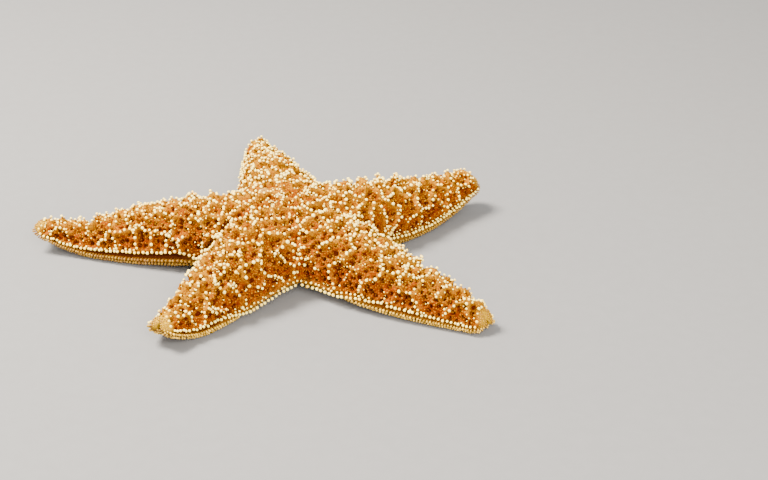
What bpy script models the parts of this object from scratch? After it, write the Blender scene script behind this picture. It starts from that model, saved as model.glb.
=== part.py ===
"""A five-armed starfish of the asteriid kind, life size, as a still model.

The solids reach out to the tips of the spines.  The star lies on its mouth side, so +Z is the
back of the animal.  The arms, named by where they point, are lofts between cross sections that
narrow, curve and lift toward the tip, and the disc is the five-sided middle between their bases.
Lengths are in metres.
"""

import math

import bmesh
import bpy
from mathutils import Vector

MM = 0.001

# Whole animal
OBJECT_NAME = "starfish"
GAP = 0.3 * MM                 # space left between two pieces that touch
BASE_HEIGHT = 15.4 * MM        # height of an arm where it leaves the disc
CROWN_HEIGHT = 17.6 * MM       # height of the middle of the disc over its own underside
SOLE_CLEARANCE = 1.4 * MM      # the disc's underside stands this far off the floor

# The arms, in order round the disc.  direction: degrees from +X.  reach: centre to tip.
# bend: sideways curve at the tip, + to the animal's left of the arm.  lift: height of the tip's
# sole.  contact: where along the arm it rests.  stout and tall: width and height against the
# common taper, tip_width and tip_height: the same for the outer half alone.
ARM_FIELDS = ("direction", "reach", "bend", "lift", "contact", "stout", "tall",
              "tip_width", "tip_height")
ARMS = {
    "left":        (173.0, 66.0 * MM, -0.1 * MM, 4.8 * MM, 0.57, 1.00, 1.00, 0.86, 0.82),
    "front_left":  (238.5, 53.2 * MM, -0.7 * MM, 4.4 * MM, 0.64, 0.98, 1.02, 0.97, 0.90),
    "front_right": (319.5, 60.3 * MM, 3.0 * MM, 0.6 * MM, 0.85, 1.05, 0.98, 0.88, 1.15),
    "back_right":  (33.6, 59.0 * MM, 1.7 * MM, 5.4 * MM, 0.41, 1.04, 1.12, 0.92, 1.08),
    "back":        (100.0, 66.5 * MM, 0.9 * MM, 3.4 * MM, 0.66, 1.00, 1.00, 1.02, 1.00),
}
# How far each notch lies from the centre, between the arm of this name and the next one
NOTCH_RADIUS = {"left": 21.0 * MM, "front_left": 19.5 * MM, "front_right": 19.0 * MM,
                "back_right": 22.0 * MM, "back": 20.8 * MM}

# Taper along an arm, as shares of its base: 1 - linear u - square u^2
WIDTH_TAPER = (0.51, 0.18)
HEIGHT_TAPER = (0.27, 0.36)
WIDTH_ROUND_FROM = 0.92        # share of the arm where its outline starts to round off
HEIGHT_ROUND_FROM = 0.90
BLUNT_WIDTH = 0.12             # share of the width that is left at the very end
BLUNT_HEIGHT = 0.18
TIP_RISE = 0.35                # how far up the rounded end closes, as a share of the height
FLAT_HALF = 0.05               # half the length of the flat an arm rests on, as a share of it
SPREAD_FADE = (0.0, 0.35)      # where stout and tall come in along the arm
TIP_FADE = (0.40, 0.95)        # where tip_width and tip_height come in

# Cross section, as shares of its half width and height
ROUNDNESS = 2.1                # exponent of the arched back: 2 is an ellipse
MARGIN_LEVEL = 0.28            # height of the widest place
BACK_STEPS = 8                 # steps from the keel of the back down to the margin
UNDER_POINTS = (               # groove, marginal band, edge, sole, furrow lip, wall, feet, middle
    (0.935, 0.215), (0.980, 0.130), (0.930, 0.035), (0.840, 0.0),
    (0.270, 0.0), (0.220, 0.200), (0.130, 0.070), (0.0, 0.300),
)
SOLE_PLACE = 4                 # points from the margin to the outer edge of the sole
FOOT_INDEX = 6                 # the tube feet among UNDER_POINTS
FOOT_LIFT = 0.09               # every other step of feet is this much shorter

# Knobs of the net on the back, on every other station, out of step from row to row
KNOB_HEIGHT = 1.10 * MM
KNOB_ROWS = 8.0                # knobs round the section, counted over half a turn
KNOB_FADE = (0.0, 0.1)         # where they come in along the arm

# Stations of the lofts
TIP_STARTS = 0.925             # share of the arm where its end piece begins
STEPS_TO_FLAT = 0.75           # density of steps before the flat against those after it
ARM_STEPS = 15
TIP_STATIONS = (0.25, 0.50, 0.72, 0.88, 1.0)

# Disc
CROWN_POWER = 2.2
CROWN_EDGE = (0.42, 1.00)      # steepness of the back at the notches, and what the arms add
DISC_RINGS = (1.0, 0.86, 0.66, 0.44, 0.22)
UNDER_RINGS = (1.0, 0.92, 0.62, 0.32)
MARGIN_GONE = 0.84             # inside this ring the margin has flattened into the sole
FURROW_SPREAD = 0.40           # the furrows narrow this much more slowly than the disc
RECESS_RING = 0.25
RECESS_DEPTH = 5.0 * MM

# Mouth and sieve plate
MOUTH_RADIUS = 3.1 * MM
MOUTH_THICKNESS = 1.6 * MM
JAW_DEPTH = 0.34               # how far the outline draws in between two jaws
JAW_COUNT = 5
MOUTH_BEVEL = 0.35 * MM
PLATE_RADIUS = 2.1 * MM
PLATE_THICKNESS = 1.7 * MM
PLATE_SINK = 1.9 * MM          # depth of the pit that the plate sits in
PLATE_CLEARANCE = 0.45 * MM
PLATE_RING = 0.44              # where it lies between the centre and the notch
PLATE_AFTER_ARM = "back"       # its notch comes after this arm

WELD = 0.00001
SHARP_EDGE = math.radians(50)


def arm(name):
    """The fields of one arm by name."""
    return dict(zip(ARM_FIELDS, ARMS[name]))


def smooth(x, low, high):
    """0 below low, 1 above high, eased between them."""
    t = min(max((x - low) / (high - low), 0.0), 1.0)
    return t * t * (3.0 - 2.0 * t)


def rounded_end(u, start, blunt):
    """1 along the arm, easing like a quarter circle to the blunt share at u = 1."""
    t = min(max((u - start) / (1.0 - start), 0.0), 1.0)
    return blunt + (1.0 - blunt) * math.sqrt(1.0 - t * t)


def taper(u, coefficients):
    return 1.0 - coefficients[0] * u - coefficients[1] * u * u


def notch_points():
    """The inner corner between each arm and the next, by the name of the first."""
    names = list(ARMS)
    corners = {}
    for i, name in enumerate(names):
        here = arm(name)["direction"]
        there = arm(names[(i + 1) % len(names)])["direction"]
        middle = math.radians(here + ((there - here) % 360.0) / 2.0)
        corners[name] = Vector((math.cos(middle), math.sin(middle))) * NOTCH_RADIUS[name]
    return corners


def arm_corners(name):
    """The two notches of an arm in the arm's own frame, x along it and y to its left."""
    names = list(ARMS)
    before = names[names.index(name) - 1]
    turn = -math.radians(arm(name)["direction"])
    corners = notch_points()
    turned = []
    for corner in (corners[name], corners[before]):
        turned.append(Vector((corner.x * math.cos(turn) - corner.y * math.sin(turn),
                              corner.x * math.sin(turn) + corner.y * math.cos(turn))))
    return turned


def sole_height(u, form):
    """Height of the sole over the floor along an arm: down to its flat, then up to the tip."""
    before = form["contact"] - FLAT_HALF
    after = form["contact"] + FLAT_HALF
    down = SOLE_CLEARANCE * (1.0 - smooth(u, 0.0, before))
    up = max((u - after) / (1.0 - after), 0.0)
    return down + form["lift"] * up * up


def sole_slope(u, form, length):
    """Angle of the sole to the floor beyond the flat; the sections stand square to it."""
    after = form["contact"] + FLAT_HALF
    up = max((u - after) / (1.0 - after), 0.0)
    return math.atan2(2.0 * form["lift"] * up / (1.0 - after), length)


def half_section(width, height, knob, foot_lift):
    """Points from the keel of the back round to the middle of the furrow, on the +y side."""
    points = []
    level = MARGIN_LEVEL * height
    for k in range(BACK_STEPS + 1):
        angle = math.pi / 2.0 * (1.0 - k / BACK_STEPS)
        across = abs(math.cos(angle)) ** (2.0 / ROUNDNESS) if k else 0.0
        rise = math.sin(angle) ** (2.0 / ROUNDNESS) if k < BACK_STEPS else 0.0
        point = Vector((width * across, (height - level) * rise))
        swell = knob * math.cos(KNOB_ROWS * (math.pi / 2.0 - angle)) * math.sin(angle)
        point += point.normalized() * swell
        points.append((point.x, level + point.y))
    for k, (across, rise) in enumerate(UNDER_POINTS):
        lifted = foot_lift if k == FOOT_INDEX else 0.0
        points.append((width * across, height * (rise + lifted)))
    return points


def ring(half):
    """A closed outline from a half section: left margin, back, right margin, underside."""
    mirrored = [(-y, z) for y, z in half[1:-1]]
    return half + mirrored[::-1]


def arm_ring(name, u, step):
    """The closed cross section of an arm at the share u of its length, in its own frame."""
    form = arm(name)
    left, right = arm_corners(name)
    spread = taper(u, WIDTH_TAPER) * (1.0 + (form["stout"] - 1.0) * smooth(u, *SPREAD_FADE))
    spread *= 1.0 + (form["tip_width"] - 1.0) * smooth(u, *TIP_FADE)
    spread *= rounded_end(u, WIDTH_ROUND_FROM, BLUNT_WIDTH)
    bend = form["bend"] * u * u
    side = []
    for corner in (left, right):
        side.append(Vector((corner.x + (form["reach"] - corner.x) * u, corner.y * spread + bend)))
    centre = (side[0] + side[1]) / 2.0
    across = (side[0] - side[1]) / 2.0
    width = across.length
    across = across.normalized()

    full_height = BASE_HEIGHT * taper(u, HEIGHT_TAPER)
    full_height *= 1.0 + (form["tall"] - 1.0) * smooth(u, *SPREAD_FADE)
    full_height *= 1.0 + (form["tip_height"] - 1.0) * smooth(u, *TIP_FADE)
    height = full_height * rounded_end(u, HEIGHT_ROUND_FROM, BLUNT_HEIGHT)
    rise = TIP_RISE * (full_height - height)

    length = form["reach"] - (left.x + right.x) / 2.0
    knob = KNOB_HEIGHT * (-1.0) ** step * smooth(u, *KNOB_FADE) * height / BASE_HEIGHT
    slope = sole_slope(u, form, length)
    foot_lift = FOOT_LIFT * (step % 2)
    forward = Vector((across.y, -across.x))
    base_z = sole_height(u, form)
    points = []
    for y, z in ring(half_section(width, height, knob, foot_lift)):
        back = -math.sin(slope) * (z + rise)
        spot = centre + across * y + forward * back
        points.append(Vector((spot.x, spot.y, base_z + math.cos(slope) * (z + rise))))
    return points


def material(name, colour, roughness):
    """A Principled material in the piece's own colour."""
    made = bpy.data.materials.new(name)
    made.use_nodes = True
    shader = made.node_tree.nodes["Principled BSDF"]
    shader.inputs["Base Color"].default_value = (*colour, 1.0)
    shader.inputs["Roughness"].default_value = roughness
    shader.inputs["Metallic"].default_value = 0.0
    made.diffuse_color = (*colour, 1.0)
    return made


def new_object(name, mesh, colour, roughness, collection, parent):
    """Links a finished mesh as a named, smooth shaded piece of the star."""
    mesh.materials.append(material(name, colour, roughness))
    mesh.shade_smooth()
    mesh.set_sharp_from_angle(angle=SHARP_EDGE)
    piece = bpy.data.objects.new(name, mesh)
    piece.parent = parent
    collection.objects.link(piece)
    return piece


def loft(rings):
    """A closed mesh through rings of equal count, with a flat face at each end."""
    work = bmesh.new()
    loops = [[work.verts.new(point) for point in points] for points in rings]
    count = len(loops[0])
    for here, there in zip(loops, loops[1:]):
        for k in range(count):
            after = (k + 1) % count
            work.faces.new((here[k], here[after], there[after], there[k]))
    work.faces.new(loops[0][::-1])
    work.faces.new(loops[-1])
    bmesh.ops.recalc_face_normals(work, faces=work.faces)
    return work


def finished_mesh(work, name):
    mesh = bpy.data.meshes.new(name)
    work.to_mesh(mesh)
    work.free()
    return mesh


def arm_stations(name):
    """Shares of the length for the rings of an arm, with one at each end of its flat."""
    form = arm(name)
    flat_from = form["contact"] - FLAT_HALF
    flat_to = min(form["contact"] + FLAT_HALF, TIP_STARTS)
    outer = TIP_STARTS - flat_to
    weight = STEPS_TO_FLAT * flat_from + outer
    inner_steps = max(round(ARM_STEPS * STEPS_TO_FLAT * flat_from / weight), 3)
    outer_steps = ARM_STEPS - inner_steps
    stations = [flat_from * k / inner_steps for k in range(inner_steps + 1)]
    stations.append(flat_to)
    if outer > FLAT_HALF / 2.0:
        stations += [flat_to + outer * k / outer_steps for k in range(1, outer_steps + 1)]
    return stations


def base_shift(name):
    """Half the gap, square to the plane between disc and arm, in the arm's own frame."""
    left, right = arm_corners(name)
    edge = (left - right).normalized()
    return Vector((edge.y, -edge.x, 0.0)) * (GAP / 2.0)


def build_arm(name, collection, parent):
    """The arm from its base to the joint with its end piece."""
    shift = base_shift(name)
    rings = []
    for step, u in enumerate(arm_stations(name)):
        rings.append([point + shift for point in arm_ring(name, u, step)])
    mesh = finished_mesh(loft(rings), "arm_" + name)
    piece = new_object("arm_" + name, mesh, (0.78, 0.30, 0.05), 0.6, collection, parent)
    piece.rotation_euler.z = math.radians(arm(name)["direction"])


def build_tip(name, collection, parent):
    """The pale knob that ends an arm."""
    shift = base_shift(name)
    start = TIP_STARTS + GAP / arm(name)["reach"]
    shares = [start] + [start + (1.0 - start) * share for share in TIP_STATIONS]
    step = len(arm_stations(name))
    rings = [[point + shift for point in arm_ring(name, u, step)] for u in shares]
    mesh = finished_mesh(loft(rings), "tip_" + name)
    piece = new_object("tip_" + name, mesh, (0.82, 0.62, 0.30), 0.6, collection, parent)
    piece.rotation_euler.z = math.radians(arm(name)["direction"])


def crown_height(edge_z, ring_share, steep):
    """Height of the disc's back on a ring, from the edge it starts at up to the crown."""
    top = CROWN_HEIGHT + SOLE_CLEARANCE
    return edge_z + (top - edge_z) * (1.0 - ring_share ** CROWN_POWER) ** steep


def sector_edges(name):
    """The base section of an arm in the disc's frame: its back, and its underside."""
    turn = math.radians(arm(name)["direction"])
    apothem = min(NOTCH_RADIUS.values()) * math.cos(math.pi / len(ARMS))
    shrink = 1.0 - GAP / 2.0 / apothem
    turned = []
    for point in arm_ring(name, 0.0, 0):
        turned.append(Vector((
            shrink * (point.x * math.cos(turn) - point.y * math.sin(turn)),
            shrink * (point.x * math.sin(turn) + point.y * math.cos(turn)), point.z)))
    left_margin = BACK_STEPS
    right_margin = len(turned) - BACK_STEPS
    back = turned[left_margin::-1] + turned[:right_margin - 1:-1]
    under = turned[left_margin:right_margin + 1]
    return back, under


def back_grid(edge):
    """Rows of the disc's back over one arm's base, from its edge in to the last ring."""
    rows = []
    last = len(edge) - 1
    for share in DISC_RINGS:
        row = []
        for k, point in enumerate(edge):
            steep = CROWN_EDGE[0] + CROWN_EDGE[1] * math.sin(math.pi * k / last) ** 2
            height = crown_height(point.z, share, steep)
            row.append(Vector((point.x * share, point.y * share, height)))
        rows.append(row)
    return rows


def under_grid(edge):
    """Rows of the disc's underside: margin into sole, furrows running in to the mouth."""
    rows = []
    last = len(edge) - 1
    axis = edge[last // 2].xy
    for share in UNDER_RINGS:
        kept = max((share - MARGIN_GONE) / (1.0 - MARGIN_GONE), 0.0)
        row = []
        for k, point in enumerate(edge):
            from_margin = min(k, last - k)
            spot = point.xy
            height = point.z
            if from_margin < SOLE_PLACE:
                margin = edge[0 if k <= last // 2 else last].xy
                sole = edge[SOLE_PLACE if k <= last // 2 else last - SOLE_PLACE].xy
                even = margin.lerp(sole, from_margin / SOLE_PLACE)
                spot = even.lerp(spot, kept)
                height = SOLE_CLEARANCE + (point.z - SOLE_CLEARANCE) * kept
            widen = share ** (1.0 - FURROW_SPREAD) if from_margin > SOLE_PLACE else share
            spot = axis * share + (spot - axis) * widen
            row.append(Vector((spot.x, spot.y, height)))
        rows.append(row)
    roof = SOLE_CLEARANCE + RECESS_DEPTH
    inward = RECESS_RING / UNDER_RINGS[-1]
    rows.append([Vector((point.x * inward, point.y * inward, roof)) for point in rows[-1]])
    return rows


def add_grid(work, rows, centre):
    """Quads between the rows, and a fan from the last row to the centre."""
    loops = [[work.verts.new(point) for point in row] for row in rows]
    for here, there in zip(loops, loops[1:]):
        for k in range(len(here) - 1):
            work.faces.new((here[k], here[k + 1], there[k + 1], there[k]))
    for a, b in zip(loops[-1], loops[-1][1:]):
        work.faces.new((a, b, centre))


def build_disc(collection, parent):
    """The five-sided middle: domed back, furrowed underside, a flat face toward each arm."""
    work = bmesh.new()
    top = work.verts.new((0.0, 0.0, SOLE_CLEARANCE + CROWN_HEIGHT))
    roof = work.verts.new((0.0, 0.0, SOLE_CLEARANCE + RECESS_DEPTH))
    for name in ARMS:
        back, under = sector_edges(name)
        add_grid(work, back_grid(back), top)
        add_grid(work, under_grid(under), roof)
        outline = back + under[::-1][1:-1]
        work.faces.new([work.verts.new(point) for point in outline])
    bmesh.ops.remove_doubles(work, verts=work.verts, dist=WELD)
    bmesh.ops.recalc_face_normals(work, faces=work.faces)
    mesh = finished_mesh(work, "disc")
    return new_object("disc", mesh, (0.72, 0.25, 0.05), 0.6, collection, parent)


def plate_place():
    """Where the sieve plate lies on the disc's back, and how far the back slopes there."""
    corner = notch_points()[PLATE_AFTER_ARM]
    edge_z = SOLE_CLEARANCE + MARGIN_LEVEL * BASE_HEIGHT
    step = 0.01
    here = crown_height(edge_z, PLATE_RING, CROWN_EDGE[0])
    further = crown_height(edge_z, PLATE_RING + step, CROWN_EDGE[0])
    slope = math.atan2(here - further, step * corner.length)
    outward = math.atan2(corner.y, corner.x)
    return Vector((corner.x * PLATE_RING, corner.y * PLATE_RING, here)), slope, outward


def set_on_slope(piece, place, slope, outward, sink):
    """Stands a piece square to the disc's back, sunk into it."""
    normal = Vector((math.sin(slope) * math.cos(outward), math.sin(slope) * math.sin(outward),
                     math.cos(slope)))
    piece.location = place - normal * sink
    piece.rotation_euler = (0.0, slope, outward)


def build_plate(collection, cutters, parent, disc):
    """The madreporite, a small low sieve plate in a shallow pit of the disc's back."""
    place, slope, outward = plate_place()
    work = bmesh.new()
    bmesh.ops.create_cone(work, cap_ends=True, segments=12, radius1=PLATE_RADIUS + PLATE_CLEARANCE,
                          radius2=PLATE_RADIUS + PLATE_CLEARANCE, depth=2.0 * PLATE_THICKNESS)
    pit = bpy.data.objects.new("plate_pit", finished_mesh(work, "plate_pit"))
    pit.hide_render = True
    pit.display_type = "WIRE"
    pit.parent = parent
    cutters.objects.link(pit)
    set_on_slope(pit, place, slope, outward, PLATE_SINK - PLATE_THICKNESS)
    cut = disc.modifiers.new("plate_pit", "BOOLEAN")
    cut.operation = "DIFFERENCE"
    cut.object = pit

    work = bmesh.new()
    bmesh.ops.create_uvsphere(work, u_segments=14, v_segments=7, radius=1.0)
    bmesh.ops.scale(work, verts=work.verts,
                    vec=(PLATE_RADIUS, PLATE_RADIUS, PLATE_THICKNESS / 2.0))
    mesh = finished_mesh(work, "madreporite")
    plate = new_object("madreporite", mesh, (0.85, 0.72, 0.50), 0.7, collection, parent)
    set_on_slope(plate, place, slope, outward, PLATE_SINK - GAP - PLATE_THICKNESS / 2.0)


def build_mouth(collection, parent):
    """The ring of jaws in the recess under the disc, pointed between the furrows."""
    outline = []
    names = list(ARMS)
    corners = notch_points()
    for name in names:
        jaw = math.atan2(corners[name].y, corners[name].x)
        after = corners[names[(names.index(name) + 1) % JAW_COUNT]]
        turn = (math.atan2(after.y, after.x) - jaw) % (2.0 * math.pi)
        for share in (0.0, 0.25, 0.5, 0.75):
            angle = jaw + turn * share
            radius = MOUTH_RADIUS * (1.0 - JAW_DEPTH * math.sin(math.pi * share) ** 2)
            outline.append(Vector((radius * math.cos(angle), radius * math.sin(angle), 0.0)))
    work = bmesh.new()
    face = work.faces.new([work.verts.new(point) for point in outline])
    grown = bmesh.ops.extrude_face_region(work, geom=[face])
    raised = [item for item in grown["geom"] if isinstance(item, bmesh.types.BMVert)]
    bmesh.ops.translate(work, verts=raised, vec=(0.0, 0.0, MOUTH_THICKNESS))
    bmesh.ops.recalc_face_normals(work, faces=work.faces)
    mesh = finished_mesh(work, "mouth")
    mouth = new_object("mouth", mesh, (0.70, 0.45, 0.20), 0.6, collection, parent)
    mouth.location.z = SOLE_CLEARANCE + RECESS_DEPTH - GAP - MOUTH_THICKNESS
    bevel = mouth.modifiers.new("rounded", "BEVEL")
    bevel.width = MOUTH_BEVEL
    bevel.segments = 1
    bevel.limit_method = "ANGLE"


def stand_on_origin(parent):
    """Moves the star so that its box's bottom centre is the origin."""
    bpy.context.view_layer.update()
    corners = []
    for piece in parent.children:
        if piece.hide_render:
            continue
        corners += [piece.matrix_world @ vertex.co for vertex in piece.data.vertices]
    low = [min(point[axis] for point in corners) for axis in range(3)]
    high = [max(point[axis] for point in corners) for axis in range(3)]
    parent.location = (-(low[0] + high[0]) / 2.0, -(low[1] + high[1]) / 2.0, -low[2])
    bpy.context.view_layer.update()


def main():
    for old in list(bpy.data.objects):
        bpy.data.objects.remove(old)
    collection = bpy.data.collections.new(OBJECT_NAME)
    cutters = bpy.data.collections.new("cutters")
    bpy.context.scene.collection.children.link(collection)
    bpy.context.scene.collection.children.link(cutters)
    parent = bpy.data.objects.new(OBJECT_NAME + "_frame", None)
    collection.objects.link(parent)

    disc = build_disc(collection, parent)
    for name in ARMS:
        build_arm(name, collection, parent)
        build_tip(name, collection, parent)
    build_plate(collection, cutters, parent, disc)
    build_mouth(collection, parent)
    stand_on_origin(parent)


main()
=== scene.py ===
"""The looks of the starfish: one netted skin, its bead spines, tube feet, mouth and sieve plate.

The skin and everything on it are worked out on one map of the body.  A place on the map is an
arm, a share v along it (-1 centre of the disc, 0 base of the arm, 1 tip) and a share a round it
(0 keel of the back, 0.25 left margin, 0.5 middle of the furrow, 0.75 right margin).  The half
section place q runs from 0 at the keel past 0.5 at the margin to 1 in the furrow, on both sides.
Lengths are in metres.
"""

import math
from collections import namedtuple

import bmesh
import bpy
import numpy as np
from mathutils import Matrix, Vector, kdtree
from mathutils import noise as field
from mathutils.bvhtree import BVHTree

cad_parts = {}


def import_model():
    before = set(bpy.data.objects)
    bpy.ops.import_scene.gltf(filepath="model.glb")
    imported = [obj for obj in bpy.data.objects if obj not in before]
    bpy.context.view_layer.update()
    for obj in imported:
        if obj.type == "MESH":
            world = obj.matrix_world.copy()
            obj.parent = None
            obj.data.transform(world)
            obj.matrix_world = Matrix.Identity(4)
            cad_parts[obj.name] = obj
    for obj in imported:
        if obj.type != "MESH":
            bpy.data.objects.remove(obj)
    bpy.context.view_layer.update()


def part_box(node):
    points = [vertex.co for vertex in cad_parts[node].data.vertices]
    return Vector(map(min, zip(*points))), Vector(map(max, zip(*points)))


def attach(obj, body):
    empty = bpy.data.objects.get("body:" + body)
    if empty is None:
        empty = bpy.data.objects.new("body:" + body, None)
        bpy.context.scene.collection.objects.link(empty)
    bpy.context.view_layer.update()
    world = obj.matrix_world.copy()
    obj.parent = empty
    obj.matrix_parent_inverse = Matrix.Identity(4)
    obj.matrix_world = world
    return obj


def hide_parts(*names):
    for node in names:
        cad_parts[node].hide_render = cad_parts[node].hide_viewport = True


MM = 0.001
TINY = 1e-12                   # keeps divisions from zero

# ---------------------------------------------------------------- colours, linear
HOLLOW_SHADE = (0.055, 0.005, 0.000)     # painted shade: in the holes, in the gaps between granules and inside the mouth's opening
PIT = (0.136, 0.024, 0.000)      # flesh from the net's pits up to its ridges; the darker pits are partly redder flesh and partly painted shade
FLANK = (0.176, 0.049, 0.000)
RIDGE = (0.220, 0.075, 0.000)
GOLD = (0.276, 0.117, 0.000)
AMBER = (0.460, 0.230, 0.000)    # fine specks and the brightest papulae
PALE = (0.350, 0.190, 0.004)     # tips of the arms
SOLE = (0.190, 0.078, 0.008)
GROOVE_SHADE = (0.035, 0.005, 0.000)   # painted shade in the groove under the margin
FURROW = (0.160, 0.060, 0.012)
FOOT_FLESH = (0.420, 0.210, 0.065)
JAW_FLESH = (0.280, 0.095, 0.015)
CREAM = (0.990, 0.780, 0.170)    # heads of the spines
BUFF = (0.970, 0.600, 0.060)
SIDE_SHADE = (0.850, 0.600, 0.400)    # painted shade: the flesh and papulae low on the sides darker and redder

# ---------------------------------------------------------------- sizes shared with the solids
GAP = 0.3 * MM
BASE_HEIGHT = 15.4 * MM
CROWN_HEIGHT = 17.6 * MM
SOLE_CLEARANCE = 1.4 * MM
ARM_FIELDS = ("direction", "reach", "bend", "lift", "contact", "stout", "tall",
              "tip_width", "tip_height")
ARMS = {
    "left":        (173.0, 66.0 * MM, -0.1 * MM, 4.8 * MM, 0.57, 1.00, 1.00, 0.86, 0.82),
    "front_left":  (238.5, 53.2 * MM, -0.7 * MM, 4.4 * MM, 0.64, 0.98, 1.02, 0.97, 0.90),
    "front_right": (319.5, 60.3 * MM, 3.0 * MM, 0.6 * MM, 0.85, 1.05, 0.98, 0.88, 1.15),
    "back_right":  (33.6, 59.0 * MM, 1.7 * MM, 5.4 * MM, 0.41, 1.04, 1.12, 0.92, 1.08),
    "back":        (100.0, 66.5 * MM, 0.9 * MM, 3.4 * MM, 0.66, 1.00, 1.00, 1.02, 1.00),
}
NOTCH_RADIUS = {"left": 21.0 * MM, "front_left": 19.5 * MM, "front_right": 19.0 * MM,
                "back_right": 22.0 * MM, "back": 20.8 * MM}
WIDTH_TAPER = (0.51, 0.18)
HEIGHT_TAPER = (0.27, 0.36)
WIDTH_ROUND_FROM = 0.92
HEIGHT_ROUND_FROM = 0.90
BLUNT_WIDTH = 0.12
BLUNT_HEIGHT = 0.18
TIP_RISE = 0.35
FLAT_HALF = 0.05
SPREAD_FADE = (0.0, 0.35)
TIP_FADE = (0.40, 0.95)
ROUNDNESS = 2.1
MARGIN_LEVEL = 0.28
KNOB_ROWS = 8.0
KNOB_FADE = (0.0, 0.1)
TIP_STARTS = 0.925
STEPS_TO_FLAT = 0.75
ARM_STEPS = 15
LEAST_STEPS = 3
CROWN_POWER = 2.2
CROWN_EDGE = (0.42, 1.00)
MARGIN_GONE = 0.84
FURROW_SPREAD = 0.40
RECESS_FROM = 0.32
RECESS_TO = 0.25
RECESS_DEPTH = 5.0 * MM

# ---------------------------------------------------------------- the skin
BACK_COAT = 1.00 * MM          # how far the skin lies inside the tips of the spines
SOLE_COAT = 0.75 * MM
TIP_COAT = 0.45 * MM           # what both are at the tips
TIP_COAT_FROM = (0.91, 0.97)
NOTCH_INSET = 0.65             # share of it that the corners between the arms keep
RECESS_ROOF = SOLE_CLEARANCE + SOLE_COAT + RECESS_DEPTH
INSET_FADE = (0.0, 0.1)
LEAST_FLESH = 0.3              # share of the solids' width and height that the skin keeps
AXIS_FADE = (0.0, 0.1)         # ring shares over which the sole opens from the disc's centre
# Places on the half section from the margin (q = 0.5) to the middle of the furrow (q = 1).
# Near the disc the side rolls under; farther out a groove parts the margin from the comb.
UNDER_Q = (0.50, 0.53, 0.56, 0.59, 0.62, 0.80, 0.85, 0.93, 1.00)
ROLLED_ACROSS = (1.000, 1.005, 0.985, 0.930, 0.840, 0.290, 0.250, 0.150, 0.000)
GROOVED_ACROSS = (1.000, 0.900, 0.975, 0.945, 0.860, 0.290, 0.250, 0.150, 0.000)
UNDER_RISE = (0.280, 0.205, 0.130, 0.045, 0.000, 0.000, 0.170, 0.340, 0.370)
GROOVE_OPENS = {"left": (0.02, 0.20, 1.0), "front_left": (0.35, 0.70, 1.0),
                "front_right": (0.15, 0.50, 0.8), "back_right": (0.02, 0.20, 0.45),
                "back": (0.02, 0.20, 0.6)}
GROOVE_Q = (0.531, 0.032)      # middle and half width of the groove on the section
CLEFT = (0.9 * MM, 0.45 * MM)  # depth and half width of the cleft in an arm's tip
CLEFT_FROM = (0.95, 0.985)
# Where the pale patch of each arm's tip starts and is full
PALE_TIP = {"left": (0.945, 0.980), "front_left": (0.940, 0.982), "front_right": (0.968, 0.990),
            "back_right": (0.965, 0.990), "back": (0.955, 0.985)}
SHELF_Q = 0.62                 # outer edge of the sole
LIP_Q = 0.80                   # lip of the furrow
FURROW_AT_TIP = 2.1            # how much higher the furrow opens where it ends at the tip
DISC_STATIONS = 26
ARM_STATIONS = 110
STATION_CROWDING = 1.3         # above 1 the stations lie closer together toward the tip
HALF_STEPS = 40                # steps of the map from keel to furrow
WELD = 0.01 * MM
VOXEL = 0.33 * MM
SMOOTH_STEPS = 3
WEB_ROUNDS = 90                # evening out of the valleys between two arms
WEB_Q = 0.46                   # their middle on the half section
WEB_HALF = (0.05, 0.20)        # distances from it at which this is full and none
WEB_START = (-0.85, -0.60)     # shares along the map over which this sets in
WEB_END = (0.06, 0.24)         # and fades out
ORAL_Q = (0.53, 0.60)          # where the back's colours turn into the sole's
FURROW_Q = (0.80, 0.86)        # and these into the furrow's

# The net of the back: raised ridges round sunken meshes, and the knobs the solids have too
MESH_SPACING = (3.8 * MM, 3.6 * MM)      # at the disc and at the tips
MESH_CANDIDATES = 9000
# Zones: from and to on the half section, from and to along the map
MESH_ZONE = ((0.0, 0.47), (-1.0, 0.97))
RIDGE_WIDTH = 0.74 * MM
RIDGE_RISE = 0.30 * MM
RIDGE_VARIETY = 0.35           # share by which the ridges' width varies
PIT_DEPTH = (1.00 * MM, 0.80 * MM)
PIT_VARIETY = (0.5, 1.2)
BROKEN_SHARE = 0.24            # share of the ridges that sink between their nodes
BROKEN_HEIGHT = 0.3
NODE_RISE = 0.45 * MM
NODE_WIDTH = 1.1 * MM
WARP = 1.0 * MM               # how far the ridges wander
WARP_SIZE = 3.2 * MM
WARP_SEEDS = (1, 2, 3)         # of the noises, one for each axis
KEEL_WIDTH = 1.2 * MM
KEEL_FADE = (0.02, 0.2)
KEEL_RISE = 0.30 * MM
KEEL_NET = 0.62                # net value along the keel
LUMP_RISE = 1.18 * MM
LUMP_TIP_V = (0.88, 0.96)
NET_EDGE_Q = (0.44, 0.50)      # the net fades out toward the margin
HOLE_EDGE_Q = (0.485, 0.505)
EDGE_NET = 0.6                 # net value along the margin
NET_ROLLED = 0.07              # how much lower the edge lies where the side rolls under
NET_TIP_V = (0.94, 0.985)      # the net fades out toward the tip
HOLE_SPACING = 1.46 * MM       # hollows in the meshes, between the papulae, painted dark as shade
HOLE_RADIUS = (0.42 * MM, 0.78 * MM)
HOLE_DEPTH = 0.90 * MM
HOLE_RIDGE = (0.45, 0.85)      # net values over which they fade out toward the ridges
HOLE_CANDIDATES = 30000
HOLE_ZONE = ((0.0, 0.57), (-1.0, 0.97))
NOISE_STEP = (7.3, 3.1, 5.7)   # shift between the noises of two seeds
BOND_HASH = (12.9898, 78.233, 43758.5453)
SEED = 7

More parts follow.
